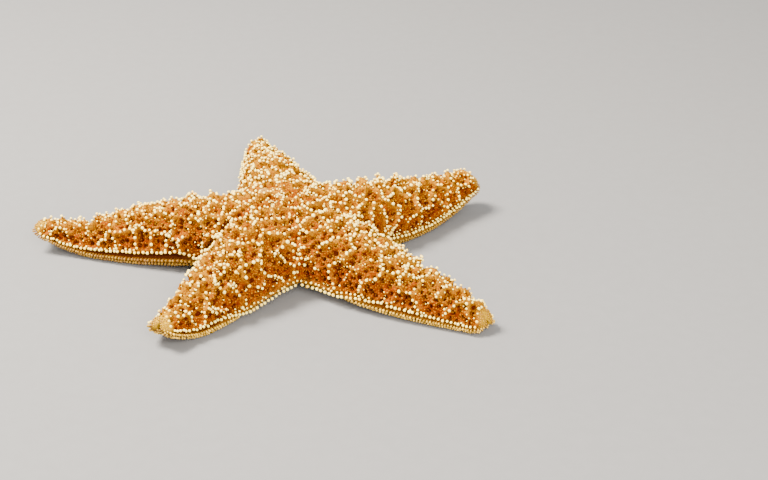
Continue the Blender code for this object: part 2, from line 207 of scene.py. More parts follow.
# ---------------------------------------------------------------- the coat
# Classes of beads on the back, largest first.  ridge: lowest value of the net they stand on.
# share: share of the candidates tried.  radius: at the places RADIUS_AT.  spread: how much the
# radius varies.  clear: distance between two, in radii.  height: in radii.
BeadClass = namedtuple("BeadClass", "ridge share radius spread clear height")
RADIUS_AT = (-0.85, -0.10, 1.0)
OPEN_HOLE = 0.22               # hollow above which nothing grows
CREST_BEADS = 0.28             # how much more easily the beads stand on the crests of the lumps
SIDE_Q = (0.18, 0.46)          # where the back turns into the sides, painted darker and redder there as shade
LARGE_BEADS = BeadClass(0.60, 0.03, (0.33 * MM, 0.48 * MM, 0.38 * MM), 0.10, 3.0, 2.0)
MAIN_BEADS = BeadClass(0.78, 1.0, (0.27 * MM, 0.38 * MM, 0.33 * MM), 0.15, 2.15, 2.0)
SMALL_BEADS = BeadClass(0.25, 0.130, (0.19 * MM, 0.21 * MM, 0.20 * MM), 0.20, 3.2, 2.0)
PAPULAE = BeadClass(0.0, 1.0, (0.21 * MM, 0.23 * MM, 0.21 * MM), 0.35, 2.5, 1.45)
BEAD_CANDIDATES = 110000
BEAD_LEAN = 0.14
BEAD_HEIGHTS = (0.85, 1.15)    # range of the beads' heights, as shares of their class's
BARE_SIZE = 5.0 * MM           # size of the stretches where ridges carry more or fewer beads
BARE_SEED = 4
LOOSENESS = 0.70               # how much the beads' clear distance varies
LOOSE_SIZE = 3.4 * MM
LOOSE_SEED = 6
CREST_CLOSER = 0.15            # how much closer they stand on the crests
BARE_BELOW = -0.38             # value of their noise below which the ridges are bare
SMOOTH_SIZE = 1.5 * MM         # size of the patches of flesh without papulae
SMOOTH_SEED = 5
SMOOTH_BELOW = -0.08
TIP_BEADS = BeadClass(0.0, 1.0, (0.21 * MM, 0.21 * MM, 0.21 * MM), 0.25, 2.1, 1.7)
TIP_CANDIDATES = 12000
TIP_FROM = 0.970
BEAD_ZONE = ((0.0, 0.55), (-1.0, TIP_FROM))
TIP_ZONE = ((0.0, 0.60), (TIP_FROM, 1.0))
SOLE_PEGS = BeadClass(0.0, 1.0, (0.27 * MM, 0.27 * MM, 0.27 * MM), 0.12, 4.0, 2.9)
SOLE_CANDIDATES = 5000
SOLE_ZONE = ((0.5, 0.76), (-0.72, 0.02))
SPACING_CELL = 1.2 * max(LARGE_BEADS.radius) * LARGE_BEADS.clear     # of the neighbour search
DOME = 0.25                    # rise of a form over its last ring, as a share of that radius
DOWNWARD = 0.05                # fall of a piece's way from which the floor limits its height
UPRIGHT = 0.9                  # rise of a piece's way from which it counts as upright
ALL_TONES = (0.0, 1.0)

# Rows along each side of an arm.  q: where the side rolls under and where it is grooved.  pitch
# and radius: at the base and at the tip.  height: over the skin.  spread: how far a spine leans
# outward.  ends: shares of the arm it runs between.  shown: how far the groove must be open.
Row = namedtuple("Row", "q pitch radius height spread ends shown")
MARGIN_ROWS = (
    Row((0.583, 0.488), (1.34 * MM, 0.86 * MM), (0.44 * MM, 0.31 * MM), 1.05 * MM, 0.3,
        (0.0, 0.965), 0.0),
    Row((0.548, 0.470), (1.30 * MM, 1.00 * MM), (0.27 * MM, 0.24 * MM), 0.80 * MM, 0.2,
        (0.0, 0.93), 0.0),
)
COMB_ROWS = (
    Row((0.585, 0.562), (1.10 * MM, 0.60 * MM), (0.38 * MM, 0.23 * MM), 1.15 * MM, 0.6,
        (0.0, 0.985), 0.12),
    Row((0.602, 0.590), (1.05 * MM, 0.52 * MM), (0.34 * MM, 0.20 * MM), 0.95 * MM, 0.3,
        (0.0, 0.99), 0.25),
    Row((0.622, 0.617), (0.95 * MM, 0.48 * MM), (0.29 * MM, 0.18 * MM), 0.80 * MM, 0.2,
        (0.0, 0.99), 0.25),
)
SOLE_ROWS = (
    Row((0.655, 0.650), (1.15 * MM, 0.85 * MM), (0.29 * MM, 0.24 * MM), 0.80 * MM, 0.3,
        (0.0, 0.97), 0.0),
    Row((0.690, 0.690), (1.15 * MM, 0.85 * MM), (0.29 * MM, 0.24 * MM), 0.80 * MM, 0.2,
        (0.0, 0.95), 0.0),
    Row((0.735, 0.735), (1.05 * MM, 0.85 * MM), (0.27 * MM, 0.22 * MM), 0.80 * MM, 0.0,
        (-0.25, 0.95), 0.0),
    Row((0.775, 0.775), (0.75 * MM, 0.65 * MM), (0.20 * MM, 0.18 * MM), 0.85 * MM, -0.1,
        (-0.62, 0.97), 0.0),
    Row((0.798, 0.798), (0.70 * MM, 0.60 * MM), (0.19 * MM, 0.17 * MM), 0.85 * MM, -0.3,
        (-0.66, 0.985), 0.0),
)
# Tones of the comb heads on each arm, dark to pale: the low ones, mostly on the left and back
# right arms, are painted shade
COMB_SHADE_TONES = {"left": (0.0, 0.45), "front_left": (0.45, 0.85), "front_right": (0.45, 0.90),
              "back_right": (0.05, 0.50), "back": (0.30, 0.80)}
MARGIN_A = 0.25                # share round an arm at which its margin lies
ROW_JITTER = 0.12              # of the pitch
ROW_CLEAR = 1.7                # distance that the rows keep clear round a spine, in radii
ROW_LEAN = 0.06
ROW_RADII = (0.9, 1.1)         # range of the radii, as shares of the row's
ROW_HEIGHTS = (0.88, 1.06)
ROW_SAMPLES = 600
COMB_SHUT = 0.4                # height of a comb spine where there is no groove, as a share
FOOT_ROWS = (0.885, 0.955)     # places of the tube feet in each half of the furrow
FOOT_PITCH = (2.1 * MM, 1.3 * MM)
FOOT_RADIUS = (0.50 * MM, 0.28 * MM)
FOOT_ENDS = (-0.60, 0.93)
FOOT_SHIFT = 0.25              # of the pitch: one row is moved inward and the other outward
FOOT_JITTER = 0.12
FOOT_LEAN = 0.12
FOOT_LEAST = 0.3 * MM          # least length
FOOT_REACH = (0.80, 1.05)      # range of the lengths, as shares of the way to the sole
FLOOR_CLEARANCE = 0.04 * MM    # how near the floor a spine may come
PATCH = 0.003                  # size of a spine's patch on the OFBake map
UV_BORDER = 0.01

# ---------------------------------------------------------------- sieve plate and mouth
PLATE_RADIUS = 1.5 * MM
PLATE_RISE = 0.6 * MM
PLATE_GROOVE = 0.13 * MM
PLATE_GROOVES = 22
PLATE_FORK = 0.55              # share of the radius where the grooves fork
PLATE_WINDING = (1.5, 7.0, 3.0)          # of the grooves: size, turns outward and round
PLATE_MIDDLE = (0.05, 0.25)    # shares of the radius over which the grooves set in
PLATE_DROP = 0.9               # how far the dome falls toward its rim
PLATE_FOOT = 0.6 * MM
MOUTH_RADIUS = 4.6 * MM
MOUTH_SAG = 0.9 * MM
JAW_RISE = 1.3 * MM
JAW_WIDTH = 0.75 * MM
JAW_FROM = (1.1 * MM, 2.6 * MM)
MOUTH_HOLE = (0.375 * MM, 0.75 * MM)     # radii at which the opening is full and none
MOUTH_DEPTH = 1.3 * MM
MOUTH_WRINKLES = 40
WRINKLE_RISE = 0.06 * MM
WRINKLES_FROM = (0.2, 0.5)
MOUTH_FOOT = 0.5 * MM
# Spines of a jaw: distance from the mouth's middle, distance to the side, length
JAW_SPINES = ((2.3 * MM, 0.30 * MM, 1.9 * MM), (3.0 * MM, 0.75 * MM, 2.2 * MM),
              (3.9 * MM, 1.05 * MM, 2.2 * MM), (4.8 * MM, 1.30 * MM, 2.4 * MM))
JAW_SPINE_ROOT = 0.7 * MM      # how far below the recess's roof they stand
JAW_SPINE_LEAN = (0.55, 0.25)  # inward and sideways
JAW_SPINE_RADIUS = 0.24 * MM
ROUND_RINGS = 16
ROUND_SECTORS = 120

# ---------------------------------------------------------------- the looks of the materials
# Texture scales, in features per metre
PATCH_SCALE = 320.0
GRANULE_SCALE = 1500.0
SPECK_SCALE = 2300.0
SKIN_GRAIN = 2600.0
SPINE_CHALK = 2200.0
SPINE_GRAIN = 4200.0
FOOT_GRAIN = 1900.0
PLATE_GRAIN = 2600.0
MOUTH_GRAIN = 1500.0
FLOOR_GRAIN = 300.0
# Darker toward the pits: partly the redder flesh there, partly painted shade in them
NET_COLOURS = ((0.0, PIT), (0.25, FLANK), (0.60, RIDGE), (1.0, GOLD))
NET_WANDER = 0.5               # how much the patches shift the net's value, and by how much
NET_SHIFT = 0.22               # it is set back for that
# Painted shade: the gaps between the granules and the hollows are darkened toward the darkest red
GAP_DISTANCE = (0.42, 0.75)    # from the granules' middles, where the gaps set in and are full
GAP_SHARE = 0.36
HOLE_HOLLOW = (0.15, 0.65)
SPECK_LEVEL = (0.52, 0.64)
SPECK_SHARE = 0.42
CHALK_SPOTS = (0.30, 0.70)
CHALK_SHADE = (0.90, 0.85, 0.78)
SUCKER_FROM = (0.78, 0.90)     # share of a tube foot's length
SCATTER_RADII = (1.0, 0.38, 0.10)        # of red, green and blue light in flesh
BLACK = (0.0, 0.0, 0.0)
WHITE = (1.0, 1.0, 1.0)
# Sockets of a mix node for colours: the factor, the two colours, the result
MIX_FACTOR, MIX_FIRST, MIX_SECOND, MIX_RESULT = 0, 6, 7, 2

# ---------------------------------------------------------------- floor, lights and camera
FLOOR_COLOURS = ((0.142, 0.136, 0.127), (0.158, 0.151, 0.142))
# Area lights: name, size, power in watts, place, colour
LIGHTS = (("key", 0.20, 26.0, (-0.30, 0.04, 0.51), (1.0, 0.96, 0.90)),
          ("fill", 0.50, 18.0, (0.20, -0.60, 0.36), (1.0, 0.98, 0.96)))
WORLD_COLOUR = (0.90, 0.93, 0.97, 1.0)
WORLD_STRENGTH = 1.2
CAMERA_ELEVATION = math.radians(25.8)
CAMERA_DISTANCE = 435.0 * MM
CAMERA_AIM = (23.2 * MM, 12.3 * MM)      # on the floor, from the middle of the disc
CAMERA_LENS = 79.7
CAMERA_NEAR = 10.0 * MM
SENSOR_WIDTH = 36.0
FLOOR_SIZE = 6.0


# ================================================================ the map of the body
def arm(name):
    """The fields of one arm by name."""
    return dict(zip(ARM_FIELDS, ARMS[name]))


def smooth(x, low, high):
    """0 below low, 1 above high, eased between them."""
    t = np.clip((np.asarray(x, float) - low) / (high - low), 0.0, 1.0)
    return t * t * (3.0 - 2.0 * t)


def rounded_end(u, start, blunt):
    """1 along the arm, easing like a quarter circle to the blunt share at u = 1."""
    t = min(max((u - start) / (1.0 - start), 0.0), 1.0)
    return blunt + (1.0 - blunt) * math.sqrt(1.0 - t * t)


def taper(u, coefficients):
    return 1.0 - coefficients[0] * u - coefficients[1] * u * u


def unit(vectors):
    """The vectors of an array, each at length 1."""
    return vectors / np.maximum(np.linalg.norm(vectors, axis=-1, keepdims=True), TINY)


def notch_points():
    """The inner corner between each arm and the next, from the middle of the disc."""
    names = list(ARMS)
    corners = {}
    for i, name in enumerate(names):
        here = arm(name)["direction"]
        there = arm(names[(i + 1) % len(names)])["direction"]
        middle = math.radians(here + ((there - here) % 360.0) / 2.0)
        corners[name] = NOTCH_RADIUS[name] * np.array((math.cos(middle), math.sin(middle)))
    return corners


def arm_stations(name):
    """Shares of the arm at the solids' rings; the knobs rise and sink from one to the next."""
    form = arm(name)
    flat_from = form["contact"] - FLAT_HALF
    flat_to = min(form["contact"] + FLAT_HALF, TIP_STARTS)
    outer = TIP_STARTS - flat_to
    weight = STEPS_TO_FLAT * flat_from + outer
    inner_steps = max(round(ARM_STEPS * STEPS_TO_FLAT * flat_from / weight), LEAST_STEPS)
    outer_steps = ARM_STEPS - inner_steps
    stations = [flat_from * k / inner_steps for k in range(inner_steps + 1)]
    stations.append(flat_to)
    if outer > FLAT_HALF / 2.0:
        stations += [flat_to + outer * k / outer_steps for k in range(1, outer_steps + 1)]
    return stations


def grooved(name, v):
    """0 where the side of an arm rolls under, 1 where a groove parts margin and comb."""
    opens, open_from, depth = GROOVE_OPENS[name]
    return depth * smooth(v, opens, open_from)


def half_section(q, width, height, furrow, groove):
    """Across and up for the places q on a half section, from keel to furrow."""
    angle = np.pi / 2.0 * (1.0 - np.clip(q / 0.5, 0.0, 1.0))
    level = MARGIN_LEVEL * height
    back_across = width * np.cos(angle).clip(0.0) ** (2.0 / ROUNDNESS)
    back_up = level + (height - level) * np.sin(angle) ** (2.0 / ROUNDNESS)
    rolled = np.interp(q, UNDER_Q, ROLLED_ACROSS)
    under_across = width * (rolled + (np.interp(q, UNDER_Q, GROOVED_ACROSS) - rolled) * groove)
    under_up = height * np.interp(q, UNDER_Q, UNDER_RISE) * np.where(q > LIP_Q, furrow, 1.0)
    on_back = q <= 0.5
    return np.where(on_back, back_across, under_across), np.where(on_back, back_up, under_up)


def arm_section(name, u, q, side):
    """Points of the skin's section at the share u of an arm, before the net is raised."""
    form = arm(name)
    names = list(ARMS)
    turn = math.radians(form["direction"])
    along = np.array((math.cos(turn), math.sin(turn)))
    left_way = np.array((-along[1], along[0]))
    corners = notch_points()
    spread = taper(u, WIDTH_TAPER) * (1.0 + (form["stout"] - 1.0) * smooth(u, *SPREAD_FADE))
    spread *= 1.0 + (form["tip_width"] - 1.0) * smooth(u, *TIP_FADE)
    spread *= rounded_end(u, WIDTH_ROUND_FROM, BLUNT_WIDTH)
    edges = []
    for corner in (corners[name], corners[names[names.index(name) - 1]]):
        pulled = corner * (1.0 - NOTCH_INSET * BACK_COAT / abs(corner @ left_way))
        far = pulled @ along + (form["reach"] - pulled @ along) * u
        edges.append(along * far + left_way * (pulled @ left_way * spread + form["bend"] * u * u))
    centre = (edges[0] + edges[1]) / 2.0
    across = (edges[0] - edges[1]) / 2.0
    width = np.linalg.norm(across)
    across = across / width
    forward = np.array((across[1], -across[0]))

    full_height = BASE_HEIGHT * taper(u, HEIGHT_TAPER)
    full_height *= 1.0 + (form["tall"] - 1.0) * smooth(u, *SPREAD_FADE)
    full_height *= 1.0 + (form["tip_height"] - 1.0) * smooth(u, *TIP_FADE)
    height = full_height * rounded_end(u, HEIGHT_ROUND_FROM, BLUNT_HEIGHT)
    rise = TIP_RISE * (full_height - height)

    at_tip = float(smooth(u, *TIP_COAT_FROM))
    back_coat = BACK_COAT + (TIP_COAT - BACK_COAT) * at_tip
    sole_coat = SOLE_COAT + (TIP_COAT - SOLE_COAT) * at_tip
    inset = (back_coat - BACK_COAT * NOTCH_INSET * spread) * float(smooth(u, *INSET_FADE))
    skin_width = max(width - inset, LEAST_FLESH * width)
    skin_height = max(height - back_coat - sole_coat, LEAST_FLESH * height)
    furrow = 1.0 + (FURROW_AT_TIP - 1.0) * smooth(u, TIP_STARTS, 1.0)
    y, z = half_section(q, skin_width, skin_height, furrow, grooved(name, u))
    z = z + rise + sole_coat
    before = form["contact"] - FLAT_HALF
    after = form["contact"] + FLAT_HALF
    up = max((u - after) / (1.0 - after), 0.0)
    length = form["reach"] - (corners[name] @ along)
    slope = math.atan2(2.0 * form["lift"] * up / (1.0 - after), length)
    sole = SOLE_CLEARANCE * (1.0 - smooth(u, 0.0, before)) + form["lift"] * up * up
    spot = centre + np.outer(y * side, across) - np.outer(math.sin(slope) * z, forward)
    return np.column_stack((spot, sole + math.cos(slope) * z))


def disc_section(ring_share, q, base):
    """Points of the skin over and under the disc on one ring, inside the base of an arm."""
    top = CROWN_HEIGHT + SOLE_CLEARANCE - BACK_COAT
    steep = CROWN_EDGE[0] + CROWN_EDGE[1] * np.cos(np.pi * q) ** 2
    back_z = base[:, 2] + (top - base[:, 2]) * (1.0 - ring_share ** CROWN_POWER) ** steep
    back = np.column_stack((base[:, :2] * ring_share, back_z))

    axis = base[q == 1.0][0, :2]
    sole = SOLE_CLEARANCE + SOLE_COAT
    kept = max((ring_share - MARGIN_GONE) / (1.0 - MARGIN_GONE), 0.0)
    flattened = np.where(q < SHELF_Q, sole + (base[:, 2] - sole) * kept, base[:, 2])
    into_recess = 1.0 - smooth(ring_share, RECESS_TO, RECESS_FROM)
    under_z = flattened + (RECESS_ROOF - flattened) * into_recess
    widen = np.where(q >= LIP_Q, ring_share ** (1.0 - FURROW_SPREAD), ring_share)
    from_axis = (base[:, :2] - axis) * widen[:, None] * smooth(ring_share, *AXIS_FADE)
    under = np.column_stack((axis * ring_share + from_axis, under_z))
    return np.where((q <= 0.5)[:, None], back, under)


class BodyMap:
    """The skin's surface over one arm and its share of the disc, as a grid of points."""

    def __init__(self, name, middle):
        disc = -1.0 + np.arange(DISC_STATIONS) / DISC_STATIONS
        ends = 1.0 - (1.0 - np.linspace(0.0, 1.0, ARM_STATIONS)) ** STATION_CROWDING
        self.v = np.concatenate((disc, ends))
        half = np.concatenate((np.linspace(0.0, 0.5, HALF_STEPS // 2 + 1),
                               np.linspace(0.5, 1.0, HALF_STEPS // 2 + 1)[1:]))
        self.q = np.concatenate((half, half[-2:0:-1]))
        side = np.concatenate((np.ones(len(half)), -np.ones(len(half) - 2)))
        self.a = np.where(side > 0, self.q / 2.0, 1.0 - self.q / 2.0)
        base = arm_section(name, 0.0, self.q, side)
        rows = []
        for v in self.v:
            if v < 0.0:
                rows.append(disc_section(1.0 + v, self.q, base))
            else:
                rows.append(arm_section(name, float(v), self.q, side))
        self.points = np.array(rows) + middle
        around = np.roll(self.points, -1, axis=1) - np.roll(self.points, 1, axis=1)
        along = np.gradient(self.points, axis=0)
        self.normals = unit(np.cross(along, around))

    def at(self, v, a):
        """Points and normals at places given by arrays v and a."""
        row = np.interp(v, self.v, np.arange(len(self.v)))
        order = np.concatenate((self.a, (1.0,)))
        column = np.interp(np.mod(a, 1.0), order, np.arange(len(order)))
        r0 = np.minimum(row.astype(int), len(self.v) - 2)
        c0 = np.minimum(column.astype(int), len(self.a) - 1)
        fr = (row - r0)[:, None]
        fc = (column - c0)[:, None]
        c1 = (c0 + 1) % len(self.a)
        found = []
        for grid in (self.points, self.normals):
            near = grid[r0, c0] * (1 - fc) + grid[r0, c1] * fc
            far = grid[r0 + 1, c0] * (1 - fc) + grid[r0 + 1, c1] * fc
            found.append(near * (1 - fr) + far * fr)
        return found[0], unit(found[1])

    def keel_arc(self):
        """Length round the back from keel to margin at each station."""
        quarter = HALF_STEPS // 2
        steps = np.diff(self.points[:, :quarter + 1], axis=1)
        return np.linalg.norm(steps, axis=2).sum(axis=1)


def q_of(a):
    """The half section place of a share round the body."""
    a = np.mod(a, 1.0)
    return 2.0 * np.minimum(a, 1.0 - a)


class Places:
    """Places on the maps with their points and normals.

    part: index of the arm.  keel: way round the back from the keel.  grooved: 0 where the side
    of the arm rolls under, 1 where it has a groove.
    """

    def __init__(self, maps, part, v, a):
        self.part = np.asarray(part, int)
        self.v = np.asarray(v, float)
        self.a = np.asarray(a, float)
        self.q = q_of(self.a)
        self.points = np.zeros((len(self.v), 3))
        self.normals = np.zeros((len(self.v), 3))
        self.keel = np.zeros(len(self.v))
        self.grooved = np.zeros(len(self.v))
        for index, (name, body) in enumerate(zip(ARMS, maps)):
            mine = self.part == index
            self.grooved[mine] = grooved(name, self.v[mine])
            self.points[mine], self.normals[mine] = body.at(self.v[mine], self.a[mine])
            arc = np.interp(self.v[mine], body.v, body.keel_arc())
            self.keel[mine] = arc * np.clip(self.q[mine] / 0.5, 0.0, 1.0)


def scatter(maps, rng, count, q_range, v_range):
    """Random places spread evenly over a zone of the body."""
    areas = []
    for body in maps:
        along = body.points[1:] - body.points[:-1]
        around = np.roll(body.points, -1, axis=1)[:-1] - body.points[:-1]
        inside_v = (body.v[:-1] >= v_range[0]) & (body.v[:-1] < v_range[1])
        middle_q = (body.q + np.roll(body.q, -1)) / 2.0
        inside_q = (middle_q >= q_range[0]) & (middle_q <= q_range[1])
        area = np.linalg.norm(np.cross(along, around), axis=2)
        areas.append(area * inside_v[:, None] * inside_q[None, :])
    total = sum(area.sum() for area in areas)
    part, v, a = [], [], []
    for index, (body, area) in enumerate(zip(maps, areas)):
        wanted = int(round(count * area.sum() / total))
        chance = area.ravel() / area.sum()
        row, column = np.unravel_index(rng.choice(len(chance), wanted, p=chance), area.shape)
        next_a = np.concatenate((body.a[1:], (1.0,)))
        part.append(np.full(wanted, index))
        v.append(body.v[row] + rng.random(wanted) * (body.v[row + 1] - body.v[row]))
        a.append(body.a[column] + rng.random(wanted) * (next_a[column] - body.a[column]))
    mixed = rng.permutation(sum(len(piece) for piece in v))
    return Places(maps, np.concatenate(part)[mixed], np.concatenate(v)[mixed],
                  np.concatenate(a)[mixed])


class Spacing:
    """Keeps points apart, each with its own clear distance."""

    def __init__(self, cell):
        self.cell = cell
        self.held = {}

    def accept(self, point, clear):
        """Takes the point in if nothing held is nearer than the mean of the two distances."""
        x, y, z = point
        kx, ky, kz = (int(math.floor(c / self.cell)) for c in point)
        for i in (kx - 1, kx, kx + 1):
            for j in (ky - 1, ky, ky + 1):
                for k in (kz - 1, kz, kz + 1):
                    for ox, oy, oz, other_clear in self.held.get((i, j, k), ()):
                        reach = (clear + other_clear) / 2.0
                        if (x - ox) ** 2 + (y - oy) ** 2 + (z - oz) ** 2 < reach * reach:
                            return False
        self.held.setdefault((kx, ky, kz), []).append((x, y, z, clear))
        return True

    def choose(self, points, clear, wanted):
        """Indexes of the wanted points that are taken in, in turn."""
        return np.array([k for k in np.flatnonzero(wanted)
                         if self.accept(points[k].tolist(), float(clear[k]))], dtype=int)


# ================================================================ the net of the back
def wobble(points, size, seed):
    """Smooth noise, about -1 to 1, with features of the given size."""
    shift = Vector(NOISE_STEP) * seed
    return np.array([field.noise(Vector(point) / size + shift) for point in points.tolist()])


def mesh_centres(maps, rng):
    """Centres of the net's meshes: irregular, closer together toward the tips."""
    places = scatter(maps, rng, MESH_CANDIDATES, *MESH_ZONE)
    clear = np.interp(places.v, (0.0, 1.0), MESH_SPACING)
    chosen = Spacing(MESH_SPACING[0]).choose(places.points, clear, clear > 0.0)
    return places.points[chosen]


def bond(first, second):
    """A fixed chance from 0 to 1 for the ridge between two meshes."""
    low = np.minimum(first, second)
    high = np.maximum(first, second)
    by_low, by_high, size = BOND_HASH
    return np.mod(np.abs(np.sin(low * by_low + high * by_high)) * size, 1.0)


def lumps(places):
    """Height of the solids' knobs: crests and hollows in turn, out of step from row to row."""
    step = np.zeros(len(places.v))
    for index, name in enumerate(ARMS):
        mine = places.part == index
        stations = arm_stations(name)
        step[mine] = np.interp(places.v[mine], stations, np.arange(len(stations)))
    shown = smooth(places.v, *KNOB_FADE) * (1.0 - smooth(places.v, *LUMP_TIP_V))
    along = np.cos(np.pi * step) * shown
    q = np.minimum(places.q, 0.5)
    around = np.cos(KNOB_ROWS * np.pi * q) * np.cos(np.pi * q)
    return LUMP_RISE * taper(np.clip(places.v, 0.0, 1.0), HEIGHT_TAPER) * along * around


def point_tree(points):
    tree = kdtree.KDTree(len(points))
    for index, point in enumerate(points):
        tree.insert(point, index)
    tree.balance()
    return tree


class Net:
    """The net's height over the plain skin, and its value: 1 on a ridge and 0 in a pit."""

    def __init__(self, maps, rng):
        centres = mesh_centres(maps, rng)
        self.depth = rng.uniform(*PIT_VARIETY, len(centres))
        self.tree = point_tree(centres)
        places = scatter(maps, rng, HOLE_CANDIDATES, *HOLE_ZONE)
        everywhere = np.full(len(places.v), HOLE_SPACING)
        chosen = Spacing(HOLE_SPACING).choose(places.points, everywhere, everywhere > 0.0)
        self.hole_radius = rng.uniform(*HOLE_RADIUS, len(chosen))
        self.holes = point_tree(places.points[chosen])

    def nearest_meshes(self, points):
        """Distances to the three nearest mesh centres, and the indexes of the first two."""
        distance = np.zeros((len(points), 3))
        index = np.zeros((len(points), 3), dtype=int)
        for row, point in enumerate(points):
            hits = self.tree.find_n(point, 3)
            distance[row] = [hit[2] for hit in hits]
            index[row] = [hit[1] for hit in hits]
        return distance, index

    def hollow(self, points):
        """1 in the middle of a hollow, 0 outside it."""
        hits = [self.holes.find(point) for point in points]
        radius = self.hole_radius[[hit[1] for hit in hits]]
        return np.exp(-(np.array([hit[2] for hit in hits]) / radius) ** 4)

    def read(self, places, points):
        """Height in metres, net value and hollow at places, from the points where they lie."""
        warp = [wobble(points, WARP_SIZE, seed) for seed in WARP_SEEDS]
        distance, index = self.nearest_meshes(points + WARP * np.column_stack(warp))
        gap = distance[:, 1] - distance[:, 0]
        sunk = bond(index[:, 0], index[:, 1]) < BROKEN_SHARE
        node = np.exp(-((distance[:, 2] - distance[:, 0]) / NODE_WIDTH) ** 2)
        whole = np.where(sunk, np.maximum(BROKEN_HEIGHT, node), 1.0)
        width = RIDGE_WIDTH * (1.0 + RIDGE_VARIETY * warp[0])
        on_keel = np.exp(-(places.keel / KEEL_WIDTH) ** 2) * smooth(places.v, *KEEL_FADE)
        ridge = np.maximum(np.exp(-(gap / width) ** 2) * whole, KEEL_NET * on_keel)
        depth = np.interp(places.v, (0.0, 1.0), PIT_DEPTH) * self.depth[index[:, 0]]
        height = RIDGE_RISE * ridge - depth * (1.0 - ridge) + NODE_RISE * node * whole
        lower = places.q - NET_ROLLED * (1.0 - places.grooved)
        edge = smooth(lower, *NET_EDGE_Q)
        tip = smooth(places.v, *NET_TIP_V)
        hollow = self.hollow(points) * (1.0 - smooth(ridge, *HOLE_RIDGE))
        hollow = hollow * (1.0 - smooth(lower, *HOLE_EDGE_Q)) * (1.0 - tip)
        height = (height + KEEL_RISE * on_keel) * (1.0 - edge) * (1.0 - tip)
        ridge = ridge + (EDGE_NET - ridge) * edge
        ridge = ridge + (1.0 - ridge) * tip
        return height - HOLE_DEPTH * hollow + lumps(places), ridge, hollow


# ================================================================ meshes from arrays
def linked(name, data):
    """A new object of the scene with the given data."""
    made = bpy.data.objects.new(name, data)
    bpy.context.scene.collection.objects.link(made)
    return made


def mesh_object(name, vertices, triangles, attributes, uv=None):
    """A mesh object from arrays, with point attributes and an OFBake map given by vertex."""
    mesh = bpy.data.meshes.new(name)
    mesh.vertices.add(len(vertices))
    mesh.vertices.foreach_set("co", np.ascontiguousarray(vertices, dtype=np.float32).ravel())
    flat = np.ascontiguousarray(triangles, dtype=np.int32).ravel()
    mesh.loops.add(len(flat))
    mesh.loops.foreach_set("vertex_index", flat)
    mesh.polygons.add(len(triangles))
    mesh.polygons.foreach_set("loop_start", np.arange(0, len(flat), 3, dtype=np.int32))
    mesh.polygons.foreach_set("loop_total", np.full(len(triangles), 3, dtype=np.int32))
    mesh.update(calc_edges=True)
    add_attributes(mesh, attributes)
    if uv is not None:
        layer = mesh.uv_layers.new(name="OFBake")
        layer.data.foreach_set("uv", np.ascontiguousarray(uv[flat], dtype=np.float32).ravel())
    mesh.shade_smooth()
    return linked(name, mesh)


def add_attributes(mesh, attributes):
    for key, values in attributes.items():
        layer = mesh.attributes.new(key, "FLOAT", "POINT")
        layer.data.foreach_set("value", np.ascontiguousarray(values, dtype=np.float32))


def round_triangles(rings, sides):
    """Triangles of a closed round form: vertex 0, rings of so many sides, one last vertex."""
    top = 1 + rings * sides
    triangles = []
    for k in range(sides):
        after = (k + 1) % sides
        triangles.append((0, 1 + after, 1 + k))
        for low in range(1, top - sides, sides):
            high = low + sides
            triangles.append((low + k, low + after, high + after))
            triangles.append((low + k, high + after, high + k))
        triangles.append((top - sides + k, top - sides + after, top))
    return np.array(triangles)


Form = namedtuple("Form", "vertices triangles share")


def lathe(profile, sides):
    """A closed turned form of radius 1, its top at height 1 and its foot below the skin at 0.

    The profile lists radius and height, both in radii.  share: each vertex's share of the whole
    length.
    """
    vertices = [(0.0, 0.0, profile[0][1])]
    for radius, height in profile:
        for k in range(sides):
            angle = 2.0 * math.pi * k / sides
            vertices.append((radius * math.cos(angle), radius * math.sin(angle), height))
    vertices.append((0.0, 0.0, profile[-1][1] + DOME * profile[-1][0]))
    vertices = np.array(vertices)
    vertices[:, 2] /= vertices[-1, 2]
    foot = vertices[0, 2]
    share = (vertices[:, 2] - foot) / (1.0 - foot)
    return Form(vertices, round_triangles(len(profile), sides), share)


# Profiles of the coat's pieces, from the foot in the skin up to the top
CLUB = lathe(((0.60, -0.6), (0.45, 0.6), (0.92, 1.15), (1.0, 1.5), (0.80, 1.95), (0.40, 2.25)), 7)
KNOB = lathe(((0.70, -0.5), (0.62, 0.3), (1.0, 0.85), (0.90, 1.3), (0.45, 1.65)), 6)
PAPULA = lathe(((1.0, -0.5), (0.90, 0.55), (0.52, 1.15)), 6)
PEG = lathe(((0.70, -0.6), (0.68, 0.8), (0.95, 2.2), (1.0, 3.0), (0.60, 3.6)), 6)
FOOT = lathe(((0.78, -0.6), (0.62, 1.0), (0.72, 2.0), (0.58, 3.2), (0.66, 4.2), (1.0, 4.8),
              (1.0, 5.05), (0.55, 5.2)), 8)


def frames(ways, twist):
    """Two unit vectors square to each way, turned by twist."""
    helper = np.where(np.abs(ways[:, 2:3]) < UPRIGHT, np.array((0.0, 0.0, 1.0)),
                      np.array((1.0, 0.0, 0.0)))
    x = unit(np.cross(helper, ways))
    y = np.cross(ways, x)
    cosine = np.cos(twist)[:, None]
    sine = np.sin(twist)[:, None]
    return x * cosine + y * sine, y * cosine - x * sine


